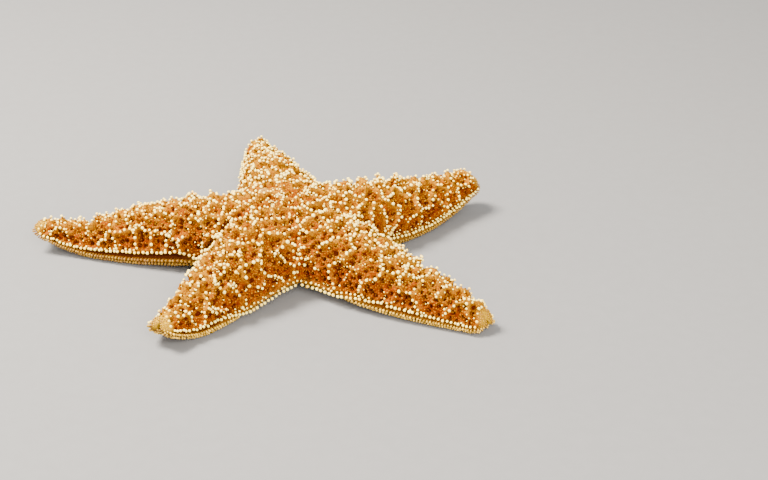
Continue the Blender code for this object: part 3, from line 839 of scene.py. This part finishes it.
class Coat:
    """Collects like pieces of the coat, then joins them into one mesh for each arm."""

    def __init__(self, name, slot, material):
        self.name = name
        self.slot = slot
        self.material = material
        self.lots = []

    def add(self, form, places, roots, ways, radius, height, rng, tones=ALL_TONES):
        """Sets a form at each root, standing along its way, none of them into the floor."""
        if len(roots) == 0:
            return
        ways = unit(ways)
        down = np.maximum(-ways[:, 2], DOWNWARD)
        room = np.where(down > DOWNWARD, (roots[:, 2] - FLOOR_CLEARANCE) / down, 1.0)
        self.lots.append({
            "form": form, "part": places.part, "v": places.v, "a": places.a, "roots": roots,
            "ways": ways, "radius": np.broadcast_to(radius, len(roots)),
            "height": np.minimum(np.broadcast_to(height, len(roots)), room),
            "tone": rng.uniform(*tones, len(roots)),
            "twist": rng.random(len(roots)) * 2.0 * math.pi,
        })

    def build(self):
        """One joined mesh of the pieces on each arm's map."""
        for part, name in enumerate(ARMS):
            columns = {key: [] for key in ("points", "triangles", "along", "tone", "side", "uv")}
            total = 0
            for lot in self.lots:
                mine = lot["part"] == part
                if mine.any():
                    total += self.add_columns(columns, total, part, lot, mine)
            joined = {key: np.concatenate(pieces) for key, pieces in columns.items()}
            points, triangles, uv = (joined.pop(key) for key in ("points", "triangles", "uv"))
            made = mesh_object(f"{self.name}_{name}", points, triangles, joined, uv)
            made.data.materials.append(self.material)
            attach(made, "root")

    def add_columns(self, columns, total, part, lot, mine):
        """Appends one lot's pieces on an arm to the columns and tells how many vertices."""
        form = lot["form"]
        shape = form.vertices
        ways, roots, v, a = (lot[key][mine] for key in ("ways", "roots", "v", "a"))
        radius, height = (lot[key][mine][:, None, None] for key in ("radius", "height"))
        x, y = frames(ways, lot["twist"][mine])
        local = (shape[None, :, 0:1] * x[:, None, :] * radius
                 + shape[None, :, 1:2] * y[:, None, :] * radius
                 + shape[None, :, 2:3] * ways[:, None, :] * height)
        offsets = total + np.arange(len(v))[:, None, None] * len(shape)
        columns["points"].append((roots[:, None, :] + local).reshape(-1, 3))
        columns["triangles"].append((form.triangles[None] + offsets).reshape(-1, 3))
        columns["along"].append(np.tile(form.share, len(v)))
        columns["tone"].append(np.repeat(lot["tone"][mine], len(shape)))
        # Share low on the body's sides, which the papulae's painted shade follows
        columns["side"].append(np.repeat(smooth(q_of(a), *SIDE_Q), len(shape)))
        columns["uv"].append(self.patches(form, part, v, a))
        return len(v) * len(shape)

    def patches(self, form, part, v, a):
        """A small patch for each piece where its root lies on five strips, one for each arm."""
        angle = np.arctan2(form.vertices[:, 1], form.vertices[:, 0]) / (2.0 * math.pi)
        used = 1.0 - 2.0 * UV_BORDER
        root_u = UV_BORDER + used * (v + 1.0) / 2.0
        root_v = UV_BORDER + used * (part + np.mod(a + 0.5, 1.0)) / len(ARMS)
        patch_u = root_u[:, None] + PATCH * angle[None, :]
        patch_v = root_v[:, None] + PATCH * (form.share[None, :] - 0.5)
        return np.stack((patch_u, patch_v), axis=-1).reshape(-1, 2)


# ================================================================ materials
def new_material(name, roughness, specular):
    """A Principled material with its constants set, and the node tree to build on."""
    made = bpy.data.materials.new(name)
    made.use_nodes = True
    shader = made.node_tree.nodes["Principled BSDF"]
    shader.inputs["Roughness"].default_value = roughness
    shader.inputs["Specular IOR Level"].default_value = specular
    return made, made.node_tree, shader


def node(tree, kind, **settings):
    made = tree.nodes.new(kind)
    for key, value in settings.items():
        setattr(made, key, value)
    return made


def attribute(tree, name):
    return node(tree, "ShaderNodeAttribute", attribute_name=name).outputs["Fac"]


def texture(tree, kind, output, scale, **inputs):
    """A texture in object space, scale in features per metre."""
    place = node(tree, "ShaderNodeTexCoord").outputs["Object"]
    made = node(tree, kind)
    made.inputs["Scale"].default_value = scale
    for key, value in inputs.items():
        made.inputs[key].default_value = value
    tree.links.new(place, made.inputs["Vector"])
    return made.outputs[output]


def clouds(tree, scale):
    return texture(tree, "ShaderNodeTexNoise", "Fac", scale, Detail=3.0, Roughness=0.55)


def granules(tree, scale):
    return texture(tree, "ShaderNodeTexVoronoi", "Distance", scale)


def ramp(tree, value, stops):
    """A colour ramp over a value; stops are (position, colour)."""
    made = node(tree, "ShaderNodeValToRGB")
    elements = made.color_ramp.elements
    first, *between, last = stops
    for element, (position, colour) in zip(elements, (first, last)):
        element.position = position
        element.color = (*colour, 1.0)
    for position, colour in between:
        elements.new(position).color = (*colour, 1.0)
    tree.links.new(value, made.inputs["Fac"])
    return made.outputs["Color"]


def mask(tree, value, low, high):
    """0 below low and 1 above high, as a grey colour that serves as a factor."""
    return ramp(tree, value, ((low, BLACK), (high, WHITE)))


def feed(tree, value, socket):
    """Gives an input socket its value: another socket, a plain number or a plain colour."""
    if isinstance(value, bpy.types.NodeSocket):
        tree.links.new(value, socket)
    elif isinstance(value, tuple):
        socket.default_value = (*value, 1.0)
    else:
        socket.default_value = value


def mix(tree, factor, first, second, blend="MIX"):
    """Mixes two colours by a factor."""
    made = node(tree, "ShaderNodeMix", data_type="RGBA", blend_type=blend)
    for key, value in ((MIX_FACTOR, factor), (MIX_FIRST, first), (MIX_SECOND, second)):
        feed(tree, value, made.inputs[key])
    return made.outputs[MIX_RESULT]


def arithmetic(tree, operation, first, second):
    """A clamped sum, difference or product."""
    made = node(tree, "ShaderNodeMath", operation=operation, use_clamp=True)
    for key, value in enumerate((first, second)):
        feed(tree, value, made.inputs[key])
    return made.outputs[0]


def bump(tree, shader, height, strength, distance):
    made = node(tree, "ShaderNodeBump")
    made.inputs["Strength"].default_value = strength
    made.inputs["Distance"].default_value = distance
    tree.links.new(height, made.inputs["Height"])
    tree.links.new(made.outputs["Normal"], shader.inputs["Normal"])


def glow_through(shader, weight, scale):
    """Light scattered in flesh: a warm, short subsurface."""
    shader.inputs["Subsurface Weight"].default_value = weight
    shader.inputs["Subsurface Radius"].default_value = SCATTER_RADII
    shader.inputs["Subsurface Scale"].default_value = scale


def skin_material():
    """Golden ridges over red-orange pits, paler below and at the tips, finely granular; painted
    shade darkens the hollows, the gaps between granules, the groove under the margin, the flesh
    low on the sides and in part the pits.
    """
    made, tree, shader = new_material("starfish_skin", roughness=0.6, specular=0.0)
    wander = arithmetic(tree, "MULTIPLY", clouds(tree, PATCH_SCALE), NET_WANDER)
    level = arithmetic(tree, "ADD", attribute(tree, "net"), wander)
    level = arithmetic(tree, "SUBTRACT", level, NET_SHIFT)
    colour = ramp(tree, level, NET_COLOURS)
    # Painted shade: nearly black in the gaps between the granules and in the hollows
    gaps = mask(tree, granules(tree, GRANULE_SCALE), *GAP_DISTANCE)
    dark = arithmetic(tree, "ADD", arithmetic(tree, "MULTIPLY", gaps, GAP_SHARE),
                      mask(tree, attribute(tree, "hollow"), *HOLE_HOLLOW))
    colour = mix(tree, dark, colour, HOLLOW_SHADE)
    speck = mask(tree, clouds(tree, SPECK_SCALE), *SPECK_LEVEL)
    colour = mix(tree, arithmetic(tree, "MULTIPLY", speck, SPECK_SHARE), colour, AMBER)
    # Painted shade: darker and redder low on the sides
    colour = mix(tree, attribute(tree, "side"), colour, SIDE_SHADE, "MULTIPLY")
    # The groove under the margin is coloured nearly black: painted shade
    for place, there in (("oral", SOLE), ("groove", GROOVE_SHADE), ("furrow", FURROW), ("tip", PALE)):
        colour = mix(tree, attribute(tree, place), colour, there)
    tree.links.new(colour, shader.inputs["Base Color"])
    bump(tree, shader, granules(tree, SKIN_GRAIN), strength=0.5, distance=0.18 * MM)
    return made


def spine_material(name, stalk, heads, neck, specular, sides=WHITE):
    """Spines or papulae: a stalk in its own colour and a head in one of a range of colours, with
    painted shade low on the body's sides unless sides is white.
    """
    made, tree, shader = new_material(name, roughness=0.42, specular=specular)
    head = ramp(tree, attribute(tree, "tone"), zip(np.linspace(0.0, 1.0, len(heads)), heads))
    colour = mix(tree, mask(tree, attribute(tree, "along"), *neck), stalk, head)
    # Painted shade low on the body's sides, where sides is not white
    colour = mix(tree, attribute(tree, "side"), colour, sides, "MULTIPLY")
    chalk = ramp(tree, clouds(tree, SPINE_CHALK), zip(CHALK_SPOTS, (CHALK_SHADE, WHITE)))
    colour = mix(tree, 1.0, colour, chalk, "MULTIPLY")
    tree.links.new(colour, shader.inputs["Base Color"])
    bump(tree, shader, clouds(tree, SPINE_GRAIN), strength=0.35, distance=0.05 * MM)
    return made


def foot_material():
    """Tube feet: soft and wet looking, with a paler sucker."""
    made, tree, shader = new_material("starfish_tube_feet", roughness=0.28, specular=0.5)
    fleck = clouds(tree, FOOT_GRAIN)
    flesh = mix(tree, fleck, FOOT_FLESH, PALE)
    colour = mix(tree, mask(tree, attribute(tree, "along"), *SUCKER_FROM), flesh, BUFF)
    tree.links.new(colour, shader.inputs["Base Color"])
    bump(tree, shader, fleck, strength=0.4, distance=0.08 * MM)
    glow_through(shader, weight=0.4, scale=0.8 * MM)
    return made


def plate_material():
    """The sieve plate: chalky, the darker orange of the pits in its grooves."""
    made, tree, shader = new_material("starfish_sieve_plate", roughness=0.6, specular=0.4)
    grain = clouds(tree, PLATE_GRAIN)
    chalk = mix(tree, grain, GOLD, PALE)
    colour = mix(tree, attribute(tree, "groove"), chalk, PIT)
    tree.links.new(colour, shader.inputs["Base Color"])
    bump(tree, shader, grain, strength=0.5, distance=0.06 * MM)
    return made


def mouth_material():
    """The skin round the mouth: wrinkled, paler on the jaws, with painted shade inside the
    opening.
    """
    made, tree, shader = new_material("starfish_mouth", roughness=0.5, specular=0.2)
    fleck = clouds(tree, MOUTH_GRAIN)
    flesh = mix(tree, fleck, JAW_FLESH, SOLE)
    colour = mix(tree, attribute(tree, "jaw"), flesh, PALE)
    # Painted shade: the opening is only a shallow hollow, coloured nearly black
    colour = mix(tree, attribute(tree, "inside"), colour, HOLLOW_SHADE)
    tree.links.new(colour, shader.inputs["Base Color"])
    bump(tree, shader, fleck, strength=0.5, distance=0.10 * MM)
    glow_through(shader, weight=0.25, scale=0.6 * MM)
    return made


# ================================================================ the skin
def plain_skin(maps):
    """One closed mesh through all the maps, evened out, with no net yet."""
    work = bmesh.new()
    for body in maps:
        grid = [[work.verts.new(point) for point in row] for row in body.points]
        count = len(body.a)
        for near, far in zip(grid, grid[1:]):
            for k in range(count):
                after = (k + 1) % count
                work.faces.new((near[k], far[k], far[after], near[after]))
        end = work.verts.new(body.points[-1].mean(axis=0))
        for k in range(count):
            work.faces.new((grid[-1][k], end, grid[-1][(k + 1) % count]))
    bmesh.ops.remove_doubles(work, verts=work.verts, dist=WELD)
    mesh = bpy.data.meshes.new("skin_base")
    work.to_mesh(mesh)
    work.free()
    skin = linked("skin", mesh)
    remesh = skin.modifiers.new("remesh", "REMESH")
    remesh.mode = "VOXEL"
    remesh.voxel_size = VOXEL
    relax = skin.modifiers.new("relax", "SMOOTH")
    relax.iterations = SMOOTH_STEPS
    graph = bpy.context.evaluated_depsgraph_get()
    relaxed = bpy.data.meshes.new_from_object(skin.evaluated_get(graph))
    skin.modifiers.clear()
    skin.data = relaxed
    relaxed.name = "skin"
    return skin


def vertex_arrays(mesh):
    """The points and normals of a mesh as arrays."""
    arrays = []
    for key in ("co", "normal"):
        flat = np.empty(len(mesh.vertices) * 3, dtype=np.float32)
        mesh.vertices.foreach_get(key, flat)
        arrays.append(flat.reshape(-1, 3).astype(float))
    return arrays


def move_vertices(mesh, points):
    mesh.vertices.foreach_set("co", points.astype(np.float32).ravel())
    mesh.update()


def evened(mesh, points, weight, rounds):
    """The points with each moved to the mean of its neighbours, where the weight is 1."""
    edges = np.empty(len(mesh.edges) * 2, dtype=np.int32)
    mesh.edges.foreach_get("vertices", edges)
    first, second = edges.reshape(-1, 2).T
    count = np.bincount(edges, minlength=len(points))[:, None]
    for _ in range(rounds):
        total = [np.bincount(first, points[second, axis], len(points))
                 + np.bincount(second, points[first, axis], len(points)) for axis in range(3)]
        points = points + (np.column_stack(total) / count - points) * weight[:, None]
    return points


def nearest_places(maps, points):
    """For each point, the place of the maps' grids that lies nearest."""
    tree = point_tree(np.concatenate([body.points.reshape(-1, 3) for body in maps]))
    rows, columns = maps[0].points.shape[:2]
    hits = np.array([tree.find(point)[1] for point in points])
    row = (hits % (rows * columns)) // columns
    return Places(maps, hits // (rows * columns), maps[0].v[row], maps[0].a[hits % columns])


def tip_clefts(places, points):
    """Moves toward the disc that cut a cleft into each tip, where the furrow runs out."""
    moves = np.zeros_like(points)
    for index, name in enumerate(ARMS):
        mine = (places.part == index) & (places.v > CLEFT_FROM[0])
        turn = math.radians(arm(name)["direction"])
        outward = np.array((math.cos(turn), math.sin(turn), 0.0))
        sideways = np.array((-outward[1], outward[0], 0.0))
        off = (points[mine] - points[mine].mean(axis=0)) @ sideways
        depth = CLEFT[0] * np.exp(-(off / CLEFT[1]) ** 2) * smooth(places.v[mine], *CLEFT_FROM)
        moves[mine] = -outward * depth[:, None]
    return moves


def build_skin(maps, net):
    """One closed skin over disc, arms and tips, with the net raised on its back."""
    skin = plain_skin(maps)
    mesh = skin.data
    points, _ = vertex_arrays(mesh)
    places = nearest_places(maps, points)
    in_notch = 1.0 - smooth(np.abs(places.q - WEB_Q), *WEB_HALF)
    in_notch = in_notch * (1.0 - smooth(places.v, *WEB_END)) * smooth(places.v, *WEB_START)
    points = evened(mesh, points, in_notch, WEB_ROUNDS)
    move_vertices(mesh, points)
    points, normals = vertex_arrays(mesh)
    height, ridge, hollow = net.read(places, points)
    move_vertices(mesh, points + normals * height[:, None] + tip_clefts(places, points))
    pale_from, pale_to = np.array(list(PALE_TIP.values()))[places.part].T
    add_attributes(mesh, {
        "net": ridge,
        "hollow": hollow,
        "oral": smooth(places.q, *ORAL_Q),
        # Painted shade in the groove between margin and comb
        "groove": np.exp(-((places.q - GROOVE_Q[0]) / GROOVE_Q[1]) ** 4) * places.grooved,
        "furrow": smooth(places.q, *FURROW_Q),
        "tip": smooth(places.v, pale_from, pale_to),
        "side": smooth(places.q, *SIDE_Q),
    })
    mesh.shade_smooth()
    mesh.materials.append(skin_material())
    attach(skin, "root")
    nodes = ["disc"] + ["arm_" + name for name in ARMS] + ["tip_" + name for name in ARMS]
    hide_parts(*nodes)
    return skin


class Surface:
    """The finished skin, to set the pieces of the coat on."""

    def __init__(self, skin):
        self.tree = BVHTree.FromObject(skin, bpy.context.evaluated_depsgraph_get())

    def settle(self, points, normals):
        """The points moved onto the skin, and ways halfway between the normals given and its."""
        roots = np.empty_like(points)
        ways = np.empty_like(points)
        for k, point in enumerate(points):
            spot, way, _, _ = self.tree.find_nearest(point)
            roots[k] = spot
            ways[k] = way
        return roots, unit(normals + ways)


# ================================================================ the coat on the skin
Picked = namedtuple("Picked", "part v a")


def pick(places, chosen):
    return Picked(places.part[chosen], places.v[chosen], places.a[chosen])


def lay_class(kind, form, coat, bed, wanted, spacing, rng):
    """Sets the beads of one class where the net is high enough and there is room."""
    places, roots, ways, ridge, loose = bed
    radius = np.interp(places.v, RADIUS_AT, kind.radius)
    radius = radius * (1.0 + kind.spread * rng.uniform(-1.0, 1.0, len(radius)))
    wanted = wanted & (ridge >= kind.ridge) & (rng.random(len(radius)) < kind.share)
    chosen = spacing.choose(roots, radius * kind.clear * loose, wanted)
    height = kind.height * radius * rng.uniform(*BEAD_HEIGHTS, len(radius))
    lean = rng.normal(0.0, BEAD_LEAN, (len(chosen), 3))
    coat.add(form, pick(places, chosen), roots[chosen], ways[chosen] + lean, radius[chosen],
             height[chosen], rng)


def lay_back(maps, net, surface, spacing, spines, papulae, rng):
    """Club spines on the ridges, small ones on their flanks and soft papulae between them."""
    places = scatter(maps, rng, BEAD_CANDIDATES, *BEAD_ZONE)
    height, ridge, hollow = net.read(places, places.points)
    roots, ways = surface.settle(places.points + places.normals * height[:, None],
                                 places.normals)
    crest = np.maximum(lumps(places) / LUMP_RISE, 0.0)
    loose = 1.0 + LOOSENESS * wobble(places.points, LOOSE_SIZE, LOOSE_SEED) - CREST_CLOSER * crest
    bed = (places, roots, ways, ridge + CREST_BEADS * crest, loose)
    flesh = (places, roots, ways, ridge, np.ones(len(roots)))
    last_row = MARGIN_ROWS[1].q
    edge = last_row[0] + (last_row[1] - last_row[0]) * places.grooved
    wanted = (places.q < edge) | (places.v < 0.0)
    beaded = wanted & (wobble(places.points, BARE_SIZE, BARE_SEED) > BARE_BELOW)
    lay_class(LARGE_BEADS, CLUB, spines, bed, beaded, spacing, rng)
    lay_class(MAIN_BEADS, CLUB, spines, bed, beaded, spacing, rng)
    lay_class(SMALL_BEADS, KNOB, spines, bed, wanted, spacing, rng)
    fleshy = wobble(places.points, SMOOTH_SIZE, SMOOTH_SEED) > SMOOTH_BELOW
    bedded = wanted & fleshy & (hollow < OPEN_HOLE)
    lay_class(PAPULAE, PAPULA, papulae, flesh, bedded, spacing, rng)


def lay_zone(kind, form, coat, maps, surface, count, zone, spacing, rng):
    """Beads of one class scattered over a zone that has no net."""
    places = scatter(maps, rng, count, *zone)
    roots, ways = surface.settle(places.points, places.normals)
    everywhere = np.ones(len(roots), dtype=bool)
    even = np.ones(len(roots))
    lay_class(kind, form, coat, (places, roots, ways, even, even), everywhere, spacing, rng)


def row_line(name, q, v):
    """Places q of a row at the shares v: q is given where the side is rolled and grooved."""
    return q[0] + (q[1] - q[0]) * grooved(name, v)


def row_shares(name, body, q, pitch, ends):
    """Shares v at even steps along a row, the pitch easing from base to tip."""
    v = np.linspace(*ends, ROW_SAMPLES)
    points, _ = body.at(v, row_line(name, q, v) / 2.0)
    run = np.linalg.norm(np.diff(points, axis=0), axis=1)
    here = np.interp((v[1:] + v[:-1]) / 2.0, (0.0, 1.0), pitch)
    count = np.concatenate(((0.0,), np.cumsum(run / here)))
    return np.interp(np.arange(0.5, count[-1]), count, v)


def lay_row(maps, surface, coat, form, row, spacing, rng):
    """One row of spines on both sides of every arm."""
    for part, (name, body) in enumerate(zip(ARMS, maps)):
        for side in (1.0, -1.0):
            v = row_shares(name, body, row.q, row.pitch, row.ends)
            v = v + np.gradient(v) * ROW_JITTER * rng.uniform(-1.0, 1.0, len(v))
            places = Places(maps, np.full(len(v), part), v, side * row_line(name, row.q, v) / 2.0)
            _, outward = body.at(v, np.full(len(v), side * MARGIN_A))
            roots, ways = surface.settle(places.points, places.normals)
            ways = ways + outward * row.spread + rng.normal(0.0, ROW_LEAN, (len(v), 3))
            radius = np.interp(v, (0.0, 1.0), row.radius) * rng.uniform(*ROW_RADII, len(v))
            height = row.height * rng.uniform(*ROW_HEIGHTS, len(v))
            tones = ALL_TONES
            if row.shown > 0.0:
                height = height * (COMB_SHUT + (1.0 - COMB_SHUT) * places.grooved)
                # Painted shade: darker comb heads on some arms
                tones = COMB_SHADE_TONES[name]
            chosen = spacing.choose(roots, radius * ROW_CLEAR, places.grooved >= row.shown)
            coat.add(form, pick(places, chosen), roots[chosen], ways[chosen], radius[chosen],
                     height[chosen], rng, tones)


def lay_feet(maps, coat, rng):
    """Rows of tube feet in each furrow, reaching down nearly to the sole."""
    for part, (name, body) in enumerate(zip(ARMS, maps)):
        for row, q in enumerate(FOOT_ROWS):
            for side in (1.0, -1.0):
                v = row_shares(name, body, (q, q), FOOT_PITCH, FOOT_ENDS)
                shift = FOOT_SHIFT * (-1.0) ** row + FOOT_JITTER * rng.uniform(-1.0, 1.0, len(v))
                v = v + np.gradient(v) * shift
                places = Places(maps, np.full(len(v), part), v, np.full(len(v), side * q / 2.0))
                sole, _ = body.at(v, np.full(len(v), side * SHELF_Q / 2.0))
                down = np.array((0.0, 0.0, -1.0)) + rng.normal(0.0, FOOT_LEAN, (len(v), 3))
                room = np.maximum(places.points[:, 2] - sole[:, 2], FOOT_LEAST)
                radius = np.interp(v, (0.0, 1.0), FOOT_RADIUS) * rng.uniform(*ROW_RADII, len(v))
                coat.add(FOOT, places, places.points, down, radius,
                         room * rng.uniform(*FOOT_REACH, len(v)), rng)


# ================================================================ sieve plate and mouth
def round_solid(name, radius, height_at, foot, attributes_at, origin, x, y):
    """A closed round mesh: a face of height_at(share, angle) over a flat foot, placed by axes."""
    share, angle = np.meshgrid(np.arange(1, ROUND_RINGS + 1) / ROUND_RINGS,
                               2.0 * np.pi * np.arange(ROUND_SECTORS) / ROUND_SECTORS,
                               indexing="ij")
    face = np.stack((radius * share * np.cos(angle), radius * share * np.sin(angle),
                     height_at(share, angle)), axis=-1)
    rim = face[-1:].copy()
    rim[..., 2] = -foot
    middle = np.array((0.0, 0.0, float(height_at(np.zeros(1), np.zeros(1))[0])))
    local = np.concatenate((middle[None], face.reshape(-1, 3), rim.reshape(-1, 3),
                            ((0.0, 0.0, -foot),)))
    z = np.cross(x, y)
    points = origin + local[:, 0:1] * x + local[:, 1:2] * y + local[:, 2:3] * z
    # The rings run down from the face to the foot, so the triangles turn the other way round
    triangles = round_triangles(ROUND_RINGS + 1, ROUND_SECTORS)[:, ::-1]
    values = {}
    for key, value in attributes_at(share, angle).items():
        values[key] = np.concatenate((value[0, :1], value.ravel(), value[-1], value[-1, :1]))
    return mesh_object(name, points, triangles, values)


def build_sieve_plate(surface):
    """The madreporite: a low chalky dome with winding grooves that fork toward its rim."""
    low, high = (np.array(corner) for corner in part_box("madreporite"))
    roots, ways = surface.settle(((low + high) / 2.0)[None], np.array(((0.0, 0.0, 1.0),)))
    x, y = frames(ways, np.zeros(1))

    def grooves(share, angle):
        count = np.where(share > PLATE_FORK, PLATE_GROOVES, PLATE_GROOVES // 2)
        size, outward, around = PLATE_WINDING
        winding = size * np.sin(outward * share + around * angle)
        return (0.5 - 0.5 * np.cos(count * angle + winding)) * smooth(share, *PLATE_MIDDLE)

    def height(share, angle):
        dome = PLATE_RISE * np.sqrt(1.0 - PLATE_DROP * share ** 2)
        return dome - PLATE_GROOVE * grooves(share, angle)

    plate = round_solid("sieve_plate", PLATE_RADIUS, height, PLATE_FOOT,
                        lambda share, angle: {"groove": grooves(share, angle) ** 2},
                        roots[0], x[0], y[0])
    plate.data.materials.append(plate_material())
    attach(plate, "root")
    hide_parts("madreporite")


def jaw_angles():
    """Directions of the five jaws, between the arms."""
    return [math.atan2(corner[1], corner[0]) for corner in notch_points().values()]


def build_mouth(middle):
    """The wrinkled skin round the mouth, sagging a little, with five jaws pointing inward."""

    def jaws(share, angle):
        reach = MOUTH_RADIUS * share
        total = np.zeros_like(share * angle)
        for jaw in jaw_angles():
            # The mouth faces down, so its angles run the other way round
            off = reach * np.angle(np.exp(1j * (-angle - jaw)))
            total = np.maximum(total, np.exp(-(off / JAW_WIDTH) ** 2))
        return total * smooth(reach, *JAW_FROM)

    def inside(share, angle):
        return (1.0 - smooth(MOUTH_RADIUS * share, *MOUTH_HOLE)) * np.ones_like(angle)

    def height(share, angle):
        wrinkles = WRINKLE_RISE * np.cos(MOUTH_WRINKLES * angle) * smooth(share, *WRINKLES_FROM)
        return MOUTH_SAG * (1.0 - share ** 2) + JAW_RISE * jaws(share, angle) + wrinkles \
            - MOUTH_DEPTH * inside(share, angle)

    mouth = round_solid("mouth_skin", MOUTH_RADIUS, height, MOUTH_FOOT,
                        lambda share, angle: {"jaw": jaws(share, angle),
                                              "inside": inside(share, angle)},
                        middle + np.array((0.0, 0.0, RECESS_ROOF)), np.array((1.0, 0.0, 0.0)),
                        np.array((0.0, -1.0, 0.0)))
    mouth.data.materials.append(mouth_material())
    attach(mouth, "root")
    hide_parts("mouth")


def lay_jaw_spines(middle, coat, rng):
    """Spines on each jaw, leaning in over the mouth."""
    for part, jaw in enumerate(jaw_angles()):
        out = np.array((math.cos(jaw), math.sin(jaw), 0.0))
        across = np.array((-out[1], out[0], 0.0))
        for reach, off, tall in JAW_SPINES:
            for side in (1.0, -1.0):
                root = middle + out * reach + across * off * side
                root[2] = RECESS_ROOF - JAW_SPINE_ROOT
                inward, sideways = JAW_SPINE_LEAN
                way = np.array((0.0, 0.0, -1.0)) - inward * out + sideways * side * across
                where = Picked(np.array((part,)), np.array((reach / NOTCH_RADIUS["left"] - 1.0,)),
                               np.array((side * MARGIN_A,)))
                coat.add(PEG, where, root[None], way[None], JAW_SPINE_RADIUS, tall, rng)


# ================================================================ all of the coat
def build_coat(maps, net, surface, middle, rng):
    """Every kind of spine, papula and tube foot, the rows first and the back round them."""
    white = spine_material("starfish_spines", stalk=GOLD, heads=(CREAM, CREAM, BUFF),
                           neck=(0.35, 0.60), specular=0.4)
    soft = spine_material("starfish_papulae", stalk=FLANK, heads=(RIDGE, GOLD, GOLD, AMBER),
                          neck=(0.05, 0.45), specular=0.0, sides=SIDE_SHADE)
    ivory = spine_material("starfish_combs", stalk=SOLE, heads=(SOLE, PALE, BUFF),
                           neck=(0.40, 0.70), specular=0.3)
    straw = spine_material("starfish_tips", stalk=GOLD, heads=(GOLD, PALE),
                           neck=(0.10, 0.55), specular=0.3)
    spines = Coat("spines", "spines", white)
    papulae = Coat("papulae", "body", soft)
    combs = Coat("combs", "spines", ivory)
    pegs = Coat("sole_spines", "spines", ivory)
    tips = Coat("tip_granules", "tips", straw)
    feet = Coat("tube_feet", "tube_feet", foot_material())
    jaws = Coat("jaw_spines", "mouth_parts", ivory)
    spacing = Spacing(SPACING_CELL)
    for rows, form, coat in ((MARGIN_ROWS, CLUB, spines), (COMB_ROWS, PEG, combs),
                             (SOLE_ROWS, PEG, pegs)):
        for row in rows:
            lay_row(maps, surface, coat, form, row, spacing, rng)
    lay_back(maps, net, surface, spacing, spines, papulae, rng)
    lay_zone(TIP_BEADS, KNOB, tips, maps, surface, TIP_CANDIDATES, TIP_ZONE, spacing, rng)
    lay_zone(SOLE_PEGS, PEG, pegs, maps, surface, SOLE_CANDIDATES, SOLE_ZONE, spacing, rng)
    lay_feet(maps, feet, rng)
    lay_jaw_spines(middle, jaws, rng)
    for coat in (spines, papulae, combs, pegs, tips, feet, jaws):
        coat.build()


# ================================================================ the stage
def build_camera(middle):
    """The camera, in front of the star and looking down on it."""
    camera = linked("camera", bpy.data.cameras.new("camera"))
    camera.data.lens = CAMERA_LENS
    camera.data.sensor_width = SENSOR_WIDTH
    camera.data.clip_start = CAMERA_NEAR
    aim = Vector((middle[0] + CAMERA_AIM[0], middle[1] + CAMERA_AIM[1], 0.0))
    back = Vector((0.0, -math.cos(CAMERA_ELEVATION), math.sin(CAMERA_ELEVATION)))
    camera.location = aim + back * CAMERA_DISTANCE
    camera.rotation_euler = (math.pi / 2.0 - CAMERA_ELEVATION, 0.0, 0.0)
    bpy.context.scene.camera = camera


def build_floor():
    """A plain pale floor."""
    bpy.ops.mesh.primitive_plane_add(size=FLOOR_SIZE)
    floor = bpy.context.object
    floor.name = "floor"
    material, tree, shader = new_material("floor", roughness=0.8, specular=0.2)
    colour = mix(tree, clouds(tree, FLOOR_GRAIN), *FLOOR_COLOURS)
    tree.links.new(colour, shader.inputs["Base Color"])
    floor.data.materials.append(material)


def add_light(name, size, power, place, colour):
    """A square area light that looks at the star."""
    light = bpy.data.lights.new(name, "AREA")
    light.size = size
    light.energy = power
    light.color = colour
    made = linked(name, light)
    made.location = place
    made.rotation_euler = (-Vector(place)).to_track_quat("-Z", "Y").to_euler()


def build_lights():
    """Soft daylight: a warm key high on the left, a broad fill in front and a pale blue sky."""
    for name, size, power, place, colour in LIGHTS:
        add_light(name, size, power, place, colour)
    world = bpy.data.worlds.new("studio")
    world.use_nodes = True
    background = world.node_tree.nodes["Background"]
    background.inputs["Color"].default_value = WORLD_COLOUR
    background.inputs["Strength"].default_value = WORLD_STRENGTH
    bpy.context.scene.world = world


def disc_middle():
    """The middle of the disc in the frame, from the notches that bound its box."""
    low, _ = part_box("disc")
    corners = np.array(list(notch_points().values()))
    shrink = 1.0 - GAP / 2.0 / (min(NOTCH_RADIUS.values()) * math.cos(math.pi / len(ARMS)))
    corner = corners.min(axis=0) * shrink
    return np.array((low[0] - corner[0], low[1] - corner[1], 0.0))


def main():
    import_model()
    rng = np.random.default_rng(SEED)
    middle = disc_middle()
    maps = [BodyMap(name, middle) for name in ARMS]
    net = Net(maps, rng)
    skin = build_skin(maps, net)
    surface = Surface(skin)
    build_coat(maps, net, surface, middle, rng)
    build_sieve_plate(surface)
    build_mouth(middle)

    build_floor()
    build_lights()
    build_camera(middle)


main()
